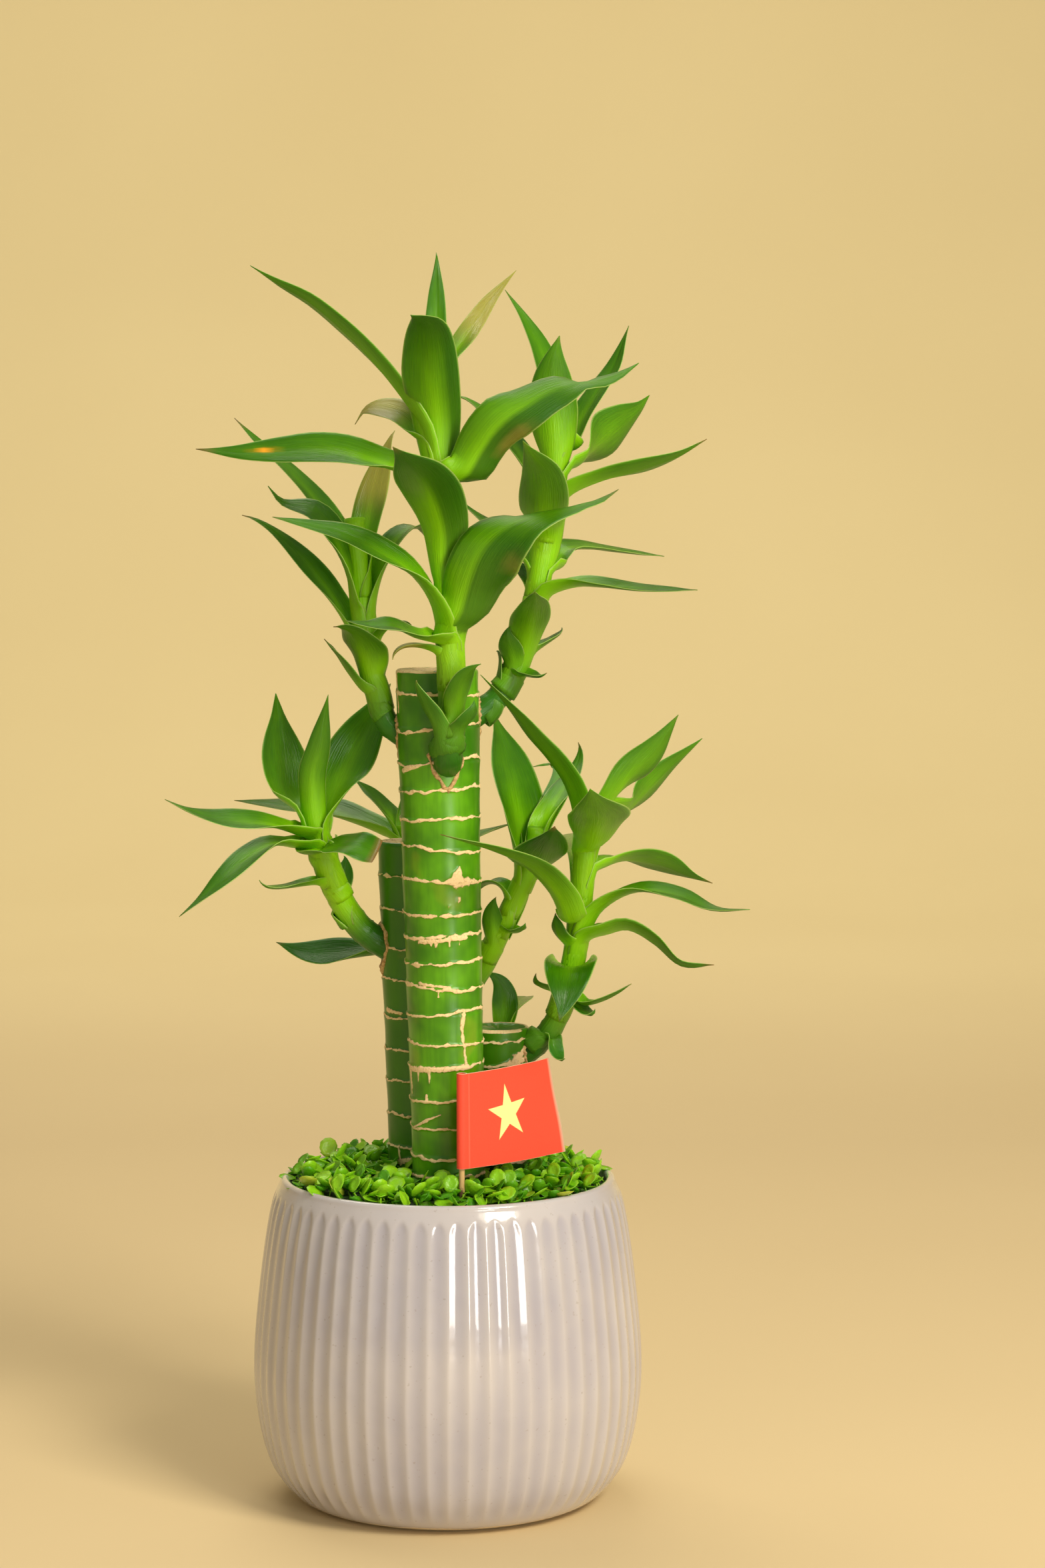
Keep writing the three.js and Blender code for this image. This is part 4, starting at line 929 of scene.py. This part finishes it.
leaf_finish, tree, shader, place = new_finish("glossy_leaf", roughness=0.3, specular_ior_level=0.3,
                                              subsurface_weight=0.2, subsurface_scale=0.002,
                                              subsurface_radius=(0.5, 1.0, 0.05))
flat = put(tree, "ShaderNodeUVMap", uv_map="flat").outputs[0]
shown = {name: share_of(tree, name) for name in CARRIED}
along, under = shown["along"], shown["under"]
across = calc(tree, "ABSOLUTE", shown["across"])
veins = ramp(tree, fibre_on(tree, flat, (1.0, 0.06, 1.0), 46.0, 2.0), 0.3, 0.7)
shade = calc(tree, "MULTIPLY_ADD", shown["tone"], 0.75, times(tree, cloud(tree, place, 60), 0.3))
# Painted light: the keel and the base of each leaf are lightened as if light shone through them. The base is
# also paler because it is young tissue.
lit_keel = times(tree, ramp(tree, across, 0.42, 0.02), ramp(tree, along, 0.8, 0.1, 0, 0.6))
# Besides its own colours, the blade is darkened towards its edges with painted shade.
colour = coats(tree, LEAF_DARK, (shade, LEAF_BRIGHT), (times(tree, under, 0.5), LEAF_UNDER),
               (times(tree, veins, 0.3), LEAF_DARK), (ramp(tree, across, 0.3, 1.0, 0, 0.5), LEAF_DARK),
               (lit_keel, LEAF_YOUNG_AND_LIT), (ramp(tree, along, 0.5, 0.0, 0, 0.9), LEAF_YOUNG_AND_LIT),
               (shown["dark"], LEAF_DARK), (shown["tan"], LEAF_TAN), (shown["foot"], STEM_FOOT),
               (ramp(tree, across, 0.93, 1.0, 0, 0.65), LEAF_MARGIN), (shown["brown"], LEAF_BROWN),
               (shown["spot"], LEAF_SPOT))
dress(shader, colour, ramp(tree, under, 0, 1, 0.27, 0.4), (veins, 0.3, 0.0003))


def unit(vector):
    """A vector at length 1."""
    return vector / np.linalg.norm(vector)


def smooth(value, low, high):
    """How far a value is between two limits, from 0 to 1 and without corners."""
    share = min(1.0, max(0.0, (value - low) / (high - low)))
    return share * share * (3 - 2 * share)


def turned_about(vector, axis, angle):
    """A vector turned about a unit axis."""
    axis = np.asarray(axis, float)
    return (vector * math.cos(angle) + np.cross(axis, vector) * math.sin(angle)
            + axis * (axis @ vector) * (1 - math.cos(angle)))


def direction(curve, share):
    """The unit direction of a curve at a share of it."""
    ends = run(curve, [max(0, share - 1e-4), min(1, share + 1e-4)])
    return unit(ends[1] - ends[0])


def share_at(curve, height):
    """The share of a rising curve at which it passes a height."""
    low, high = 0.0, 1.0
    for _ in range(30):
        middle = (low + high) / 2
        low, high = (middle, high) if run(curve, [middle])[0][2] < height else (low, middle)
    return low


def blade_width(at, clasp):
    """Half the width of a blade along it, as a share of its widest."""
    if at < WIDEST_AT:
        return 1 - (1 - clasp) * (1 - at / WIDEST_AT) ** 2
    far = (at - WIDEST_AT) / (1 - WIDEST_AT)
    return max(0.015, (1 - far ** 1.75) * (1 - 0.25 * smooth(far, 0.5, 1)))


def midrib(root, rise, path):
    """A midrib as many points and how far along it each of them is, from 0 to 1."""
    start = root + rise * ROOT_PULL * np.linalg.norm(path[0] - root)
    shares = np.linspace(0, 1, MIDRIB_STEPS)
    if len(path) > 2:
        line = run([root, start, *path], shares)
    else:
        middle, tip = path
        bend = (8 * middle - root - 3 * start - tip) / 3
        to, back = shares[:, None], 1 - shares[:, None]
        line = back ** 3 * root + 3 * back ** 2 * to * start + 3 * back * to ** 2 * bend + to ** 3 * tip
    gone = np.concatenate([[0], np.cumsum(np.linalg.norm(np.diff(line, axis=0), axis=1))])
    return line, gone / gone[-1]


def place_on(line, gone, at):
    """The point of a midrib at a share of its length."""
    return np.array([np.interp(at, gone, line[:, axis]) for axis in range(3)])


def leaf_mesh(shoot, leaf, draw, kept):
    """Rows of points of one leaf: a sheath that wraps the stem, then a blade, of which a share is kept."""
    root_height, path, width, *angles = leaf
    turn, roll = (angles + [0, 0])[:2]
    stem = shoot["stem"]
    share = share_at(stem, root_height)
    radius = between(shoot["radii"], share)
    path = [np.array(place, float) for place in path]
    middle, tip, axis = path[(len(path) - 1) // 2], path[-1], run(stem, [share])[0]
    out = (middle - axis) + 0.5 * (tip - axis)
    out = unit(turned_about(unit(np.array([out[0], out[1], 0])), (0, 0, 1), math.radians(turn)))
    level = np.cross((0, 0, 1), out)
    line, gone = midrib(axis + out * (radius - ROOT_SUNK), direction(stem, share), path)
    snug = radius + draw.uniform(0.1, 0.35)
    clasp = min(1.3, WRAP_ROOT * snug / (width / 2))
    wave = draw.uniform(0.3, 1.0) * width / 30
    phase = draw.uniform(0, 6.28)
    sheath_length = min(SHEATH_LONGEST, 0.55 * width) + 1.5
    rows = []
    for row in range(SHEATH_ROWS + BLADE_ROWS):
        at = (row - SHEATH_ROWS) / (BLADE_ROWS - 1)
        if at < 0:
            back = row / SHEATH_ROWS
            down = max(0.0, share_at(stem, root_height - sheath_length * (1 - back)))
            along = direction(stem, down)
            gutter = between(shoot["radii"], down) + (snug - radius) * back + 0.05
            centre = run(stem, [down])[0] + out * gutter
            wrap = WRAP_CLOSED + (WRAP_ROOT - WRAP_CLOSED) * back ** 1.6
            swell = 0.0
            at = (back - 1) * 0.25
        else:
            centre = place_on(line, gone, at)
            along = unit(place_on(line, gone, min(1, at + 0.012)) - place_on(line, gone, max(0, at - 0.012)))
            centre = centre + out * (snug - radius + ROOT_SUNK) * (1 - smooth(at, 0, 0.3))
            wrap = WRAP_TIP + (WRAP_ROOT - WRAP_TIP) * (1 - at) ** 3
            gutter = width / 2 * blade_width(at * kept, clasp) / wrap
            swell = wave * math.sin(phase + at * 11) * smooth(at, 0.2, 0.45) * (1 - smooth(at, 0.85, 1))
        side = unit(level - (level @ along) * along)
        side = turned_about(side, along, math.radians(roll) * smooth(at, 0.1, 0.65))
        upper = np.cross(along, side)
        for sheet in (1, -1):
            for step in range(BLADE_ACROSS):
                across = sheet * (1 - 2 * step / (BLADE_ACROSS - 1))
                half = (MARGIN_THICK + (BLADE_THICK - MARGIN_THICK) * (1 - abs(across) ** 2.5)) / 2
                if abs(across) > 0.999:
                    half = half * 0.6
                half *= 1 - 0.6 * smooth(at, 0.85, 1)
                arc = gutter - sheet * half
                ruffle = swell * across * abs(across)
                crease = CREASE_DEPTH * math.exp(-(across / CREASE_WIDE) ** 2) * smooth(at, 0.05, 0.3)
                crease *= 1 - smooth(at, 0.8, 1)
                spot = (centre + side * arc * math.sin(wrap * across)
                        + upper * (gutter - arc * math.cos(wrap * across) + ruffle - crease))
                rows.append((spot, at, across, 0.0 if sheet > 0 else 1.0))
    return rows


def foot_share(shoot, height):
    """How far down in the dark foot of its shoot a height is, from 0 to 1."""
    lowest, highest = shoot["stem"][0][2], shoot["stem"][-1][2]
    return 1 - smooth(height, lowest + FOOT_FROM, lowest + FOOT_FROM + FOOT_SHARE * (highest - lowest))


for name, shoot in SHOOTS.items():
    draw = random.Random("shoot " + name)
    stem = shoot["stem"]
    points, flat_map, carried = [], [], []
    lowest, highest = stem[0][2], stem[-1][2]
    for share in np.linspace(0, 1, STEM_ROWS):
        centre = run(stem, [share])[0]
        along = direction(stem, share)
        side = unit(np.cross((0, 1, 0), along))
        over = np.cross(along, side)
        knot = 0.25 * math.exp(-((share * STEM_ROWS * 0.2) % 1 / 0.15) ** 2)
        radius = between(shoot["radii"], share) - 0.1 + knot
        for turn in all_round(STEM_AROUND):
            points.append(centre + radius * (math.cos(turn) * side + math.sin(turn) * over))
            flat_map.append((turn / 6.3, share * 3))
            carried.append((-0.05, 0.5, 0.35, 0.4, 0, 0, 0, foot_share(shoot, centre[2]), 0))
    faces = skin(STEM_ROWS, STEM_AROUND)
    for index, leaf in enumerate(shoot["leaves"]):
        this = (name, index)
        tone = 0.2 + 0.45 * (leaf[0] - lowest) / (highest - lowest) + draw.uniform(-0.15, 0.25)
        dry_tip = draw.choice(DRY_TIPS)
        torn = this == TORN_LEAF
        tan = TAN_SHARE if this in TAN_LEAVES else 0.0
        # Painted shade: the shaded leaves are painted dark over their upper half. The others darken by a
        # random share towards the tip.
        darker = SHADE_SHARE if this in SHADED_TOPS else draw.uniform(0.15, 0.5)
        faces += skin(SHEATH_ROWS + BLADE_ROWS, 2 * BLADE_ACROSS, len(points))
        for spot, at, across, under in leaf_mesh(shoot, leaf, draw, TORN_KEPT if torn else 1.0):
            points.append(spot)
            flat_map.append((0.5 + across / 2 + index, at * 2))
            tipped = max(dry_tip * smooth(at, 0.93, 0.99), 0.8 * torn * smooth(at, 0.96, 0.99))
            near = math.hypot((at - SPOT_AT[0]) * 14, (across - SPOT_AT[1]) * 2.2)
            spotted = 1 - smooth(near, 0.3, 0.7) if this == SPOTTED_LEAF else 0
            dark = darker * smooth(at, 0.3, 0.85)
            worn = tan * smooth(at, 0.3, 0.6)
            # Painted shade: on these leaves the far half, which lies in shade, is painted darker.
            if this in SHADED_HALVES:
                begins, reaches, wear, (worn_from, worn_to) = SHADED_HALVES[this]
                beyond = smooth(across, begins, begins + 0.12) * smooth(at, 0, 0.1)
                dark = max(dark, 0.8 * beyond * (1 - smooth(at, reaches, reaches + 0.2)))
                worn = wear * smooth(across, 0.35, 0.75) * smooth(at, worn_from, worn_from + 0.08)
                worn *= 1 - smooth(at, worn_to - 0.04, worn_to + 0.04)
            foot = 0.85 * foot_share(shoot, spot[2])
            carried.append((at, across, tone, under, tipped, spotted, worn, foot, dark))
    piece = new_piece("leafy_shoot_" + name, points, faces, leaf_finish,
                      dict(zip(CARRIED, np.array(carried).T)), flat_map)
    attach(piece, "root")
    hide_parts("shoot_" + name)

# Where a shoot broke through the rind it left a thin, torn edge of cork round its foot. It lies on the cane,
# runs down into a point below the shoot, and frays where it was pulled open.
COLLAR_AROUND = 90
COLLAR_WIDE = 1.15
COLLAR_GAP = 0.25
COLLAR_STRETCH = 1.12
COLLAR_POINT = 3.0
COLLAR_HIGH = 0.7
COLLAR_SUNK = -1.5
COLLAR_CORK = (0.66, 0.44, 0.20, 1)

cork_finish, tree, shader, place = new_finish("torn_cork", roughness=0.9)
crumbs = noise_on(tree, place, 1300.0, 5.0)
dress(shader, coats(tree, COLLAR_CORK, (ramp(tree, crumbs, 0.42, 0.7), CORK_BROWN)),
      relief=(crumbs, 0.8, 0.0008))

for name, shoot in SHOOTS.items():
    cane = CANES[shoot["cane"]]
    collar_x, collar_y, collar_height = shoot["collar"]
    middle_x, middle_y, cane_radius = cane_axis(cane, collar_height)
    heading = math.atan2(collar_y - middle_y, collar_x - middle_x)
    stem_low, stem_high = (np.array(place, float) for place in shoot["stem"][:2])
    level_run = np.linalg.norm((stem_high - stem_low)[:2])
    gone = (cane_radius - math.hypot(stem_low[0] - middle_x, stem_low[1] - middle_y)) / level_run
    centre_height = between((stem_low[2], stem_high[2]), gone)
    radius = shoot["radii"][0]
    points = []
    for turn in all_round(COLLAR_AROUND):
        below = max(0.0, -math.sin(turn))
        frayed = rough(3 * math.cos(turn) + radius, 3 * math.sin(turn), 2)
        teeth = rough(turn * 5.1, 4, radius * 3)
        wide = COLLAR_WIDE * (0.75 + 0.6 * frayed + 0.5 * below ** 3)
        inner = radius + COLLAR_GAP + 0.3 * frayed
        high = COLLAR_HIGH * (0.8 + 0.7 * teeth)
        section = [(inner, COLLAR_SUNK), (inner, 0.5 * high), (inner + 0.25 * wide, high),
                   (inner + 0.7 * wide, 0.6 * high), (inner + wide * (1 + 0.5 * teeth), 0.0),
                   (inner + wide, COLLAR_SUNK)]
        for reach, lift in section:
            sideways = reach * math.cos(turn) * (1 - 0.25 * below ** 2)
            upward = reach * COLLAR_STRETCH * math.sin(turn) - COLLAR_POINT * below ** 8
            height = centre_height + upward
            x, y, cane_radius = cane_axis(cane, height)
            round_to = heading + sideways / cane_radius
            away = cane_radius + lift
            points.append((x + away * math.cos(round_to), y + away * math.sin(round_to), height))
    faces = []
    parts = len(section)
    for here in range(0, COLLAR_AROUND * parts, parts):
        there = (here + parts) % (COLLAR_AROUND * parts)
        for k in range(parts):
            follow = (k + 1) % parts
            faces.append((here + k, there + k, there + follow, here + follow))
    collar = new_piece("cork_collar_" + name, points, faces, cork_finish)
    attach(collar, "root")

# The toothpick is a thin round of pale wood, a little rough. Its grain runs up and down, and its foot is
# stained where it stands in the carpet.
STICK_FOOT = (4.2, -34)
STICK_RADIUS = 0.9
STICK_ENDS = (82, 136.6)
STICK_ROWS = 60
STICK_AROUND = 20
WOOD_PALE = (0.72, 0.47, 0.20, 1)
WOOD_GRAIN = (0.40, 0.22, 0.08, 1)
WOOD_STAINED = (0.12, 0.06, 0.025, 1)

wood_finish, tree, shader, place = new_finish("toothpick_wood", roughness=0.75)
fibre = fibre_on(tree, place, (1.0, 1.0, 0.05), 3000.0, 3.0)
uneven = calc(tree, "MULTIPLY_ADD", cloud(tree, place, 500), 0.004, axes(tree, place)["Z"])
dress(shader, coats(tree, WOOD_PALE, (times(tree, fibre, 0.5), WOOD_GRAIN),
                    (ramp(tree, uneven, 0.105, 0.1015), WOOD_STAINED)), relief=(fibre, 0.4, 0.0003))
points = []
for z in np.linspace(*STICK_ENDS, STICK_ROWS):
    for turn in all_round(STICK_AROUND):
        radius = STICK_RADIUS * (0.97 - 0.04 * abs(rough(turn * 2, z / 14)))
        if z in STICK_ENDS:
            radius *= 0.7
        points.append((STICK_FOOT[0] + radius * math.cos(turn), STICK_FOOT[1] + radius * math.sin(turn), z))
stick = new_piece("toothpick", points, skin(STICK_ROWS, STICK_AROUND), wood_finish)
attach(stick, "root")
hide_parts("flag_stick")

# The flag is a slip of printed paper, rolled once round the toothpick and glued to itself. It is turned
# back to the right and billows a little. The print is red with a yellow star, and the cut edges are pale.
PAPER_LOW = 108.4
PAPER_HIGH = 137.2
PAPER_LOW_CORNER = (36.1, -5, 108.2)
PAPER_HIGH_CORNER = (31, -3, 137)
PAPER_TUBE = 1.42
PAPER_ROLLED = math.radians(335)
PAPER_THICK = 0.3
PAPER_BILLOW = 1.6
ROLLED_STEPS = 15
HANGING_STEPS = 24
PAPER_ROWS = 20
RIM_SHARE = 0.004
CREASE_AT = 1.6
STAR_AT = (18.3, 15.0)
STAR_RADIUS = 8.9
STAR_TILT = math.radians(5)
STAR_EDGE = 0.12
PAPER_RED = (0.88, 0.080, 0.040, 1)
PAPER_FLECK = (0.80, 0.045, 0.022, 1)
STAR_YELLOW = (0.95, 0.90, 0.34, 1)
PAPER_PALE = (0.86, 0.62, 0.46, 1)

paper, tree, shader, flat = new_finish("printed_paper", "flat", roughness=0.62, specular_ior_level=0.35)
spot = axes(tree, flat)
x = calc(tree, "MULTIPLY_ADD", spot["X"], 100.0, -STAR_AT[0])
y = calc(tree, "MULTIPLY_ADD", spot["Y"], 100.0, -STAR_AT[1])
fifth = 2 * math.pi / 5
turn = calc(tree, "ADD", calc(tree, "ARCTAN2", x, y), STAR_TILT + 5 * fifth + fifth / 2)
folded = calc(tree, "ABSOLUTE", calc(tree, "SUBTRACT", calc(tree, "MODULO", turn, fifth), fifth / 2))
reach = calc(tree, "SQRT", calc(tree, "ADD", times(tree, x, x), times(tree, y, y)))
tip_side = times(tree, reach, calc(tree, "COSINE", calc(tree, "SUBTRACT", folded, fifth)))
notch = STAR_RADIUS * math.cos(fifth)
star = ramp(tree, tip_side, notch + STAR_EDGE, notch - STAR_EDGE)
fibre = noise_on(tree, flat, 160.0, 5.0)
crease = calc(tree, "ABSOLUTE", calc(tree, "MULTIPLY_ADD", spot["X"], 100.0, -CREASE_AT))
dress(shader, coats(tree, PAPER_RED, (times(tree, fibre, 0.25), PAPER_FLECK),
                    (ramp(tree, crease, 0.4, 0.0, 0, 0.1), PAPER_PALE), (star, STAR_YELLOW),
                    (share_of(tree, "cut"), PAPER_PALE)), relief=(fibre, 0.25, 0.0003))

low_corner, high_corner = np.array(PAPER_LOW_CORNER, float), np.array(PAPER_HIGH_CORNER, float)
stick_axis = np.array([*STICK_FOOT, 0.0])
run_out = unit((low_corner - stick_axis) * (1, 1, 0))
front = np.cross(run_out, (0, 0, 1))
span = np.linalg.norm((low_corner - stick_axis)[:2])
plan, lengths = [], []
for turn in np.linspace(-PAPER_ROLLED, 0, ROLLED_STEPS):
    plan.append(PAPER_TUBE * (run_out * math.sin(turn) + front * math.cos(turn)))
    lengths.append(PAPER_TUBE * turn)
for share in np.linspace(0, 1, HANGING_STEPS + 1)[1:]:
    plan.append(front * PAPER_TUBE * (1 - share) + run_out * span * share)
    lengths.append(span * share)
points, flat_map, cuts = [], [], []
heights = [0, *np.linspace(RIM_SHARE, 1 - RIM_SHARE, PAPER_ROWS), 1]
for index, (across, length) in enumerate(zip(plan, lengths)):
    share = max(0.0, length / span)
    edges = []
    for height, corner in ((PAPER_LOW, low_corner), (PAPER_HIGH, high_corner)):
        edge = stick_axis + across + (0, 0, height)
        if share > 0:
            edge_end = stick_axis + run_out * span + (0, 0, height)
            edge = edge + front * PAPER_BILLOW * math.sin(math.pi * share) + (corner - edge_end) * share
        edges.append(edge)
    low, high = edges
    following = plan[min(len(plan) - 1, index + 1)]
    normal = unit(np.cross(following - plan[max(0, index - 1)], (0, 0, 1)))
    for sheet in (1, -1):
        for at in heights[::sheet]:
            curl = 0.5 * rough(share * 3, at * 2, 5) * share
            spot = low + (high - low) * at + normal * (sheet * PAPER_THICK / 2 + curl)
            points.append(spot)
            flat_map.append((length / 100, (spot[2] - PAPER_LOW) / 100))
            cuts.append(1.0 if at in (0, 1) or index == len(plan) - 1 else 0.0)
around = 2 * len(heights)
faces = skin(len(plan), around)[:-2]
for first in (0, (len(plan) - 1) * around):
    strip = [(first + k, first + k + 1, first + around - 2 - k, first + around - 1 - k)
             for k in range(len(heights) - 1)]
    faces += strip if first else [tuple(reversed(face)) for face in strip]
flag = new_piece("paper_flag", points, faces, paper, {"cut": cuts}, flat_map)
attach(flag, "root")
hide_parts("flag_paper")

# Plain soft studio light: a warm lamp high at the front right, a narrow window low at the right that the
# glaze mirrors, a weak wide fill at the left, a lamp above and behind, and one that lights the backdrop.
AIM = (0, 0, 0.16)
BACKDROP_AIM = (0, 2.6, 0.35)
# A lamp: its name, where it stands and where it aims, its size, its power and its colour.
LIGHTS = [("key", (0.75, -0.95, 1.15), AIM, (0.5, 0.5), 20, (1.0, 0.92, 0.74)),
          ("window", (0.5, -1.06, 0.30), AIM, (0.26, 0.5), 4, (1.0, 0.98, 0.94)),
          ("fill", (-0.9, -1.3, 0.6), AIM, (1.2, 1.2), 0.8, (0.90, 0.95, 1.0)),
          ("top", (-0.2, 0.6, 1.4), AIM, (0.9, 0.9), 8, (1.0, 0.94, 0.80)),
          ("backdrop", (0, 1.2, 1.1), BACKDROP_AIM, (2.5, 0.5), 15.5, (0.97, 1.0, 0.76))]
WORLD_COLOUR = (1.0, 0.92, 0.70, 1)
WORLD_STRENGTH = 0.36

for name, stands_at, aim, size, power, colour in LIGHTS:
    lamp = bpy.data.lights.new(name, "AREA")
    lamp.shape = "RECTANGLE"
    lamp.size, lamp.size_y = size
    lamp.energy = power
    lamp.color = colour
    holder = linked(bpy.data.objects.new(name, lamp))
    holder.location = stands_at
    holder.rotation_euler = (Vector(aim) - holder.location).to_track_quat("-Z", "Y").to_euler()
world = bpy.data.worlds.new("studio")
world.use_nodes = True
background = world.node_tree.nodes["Background"]
background.inputs["Color"].default_value = WORLD_COLOUR
background.inputs["Strength"].default_value = WORLD_STRENGTH
bpy.context.scene.world = world
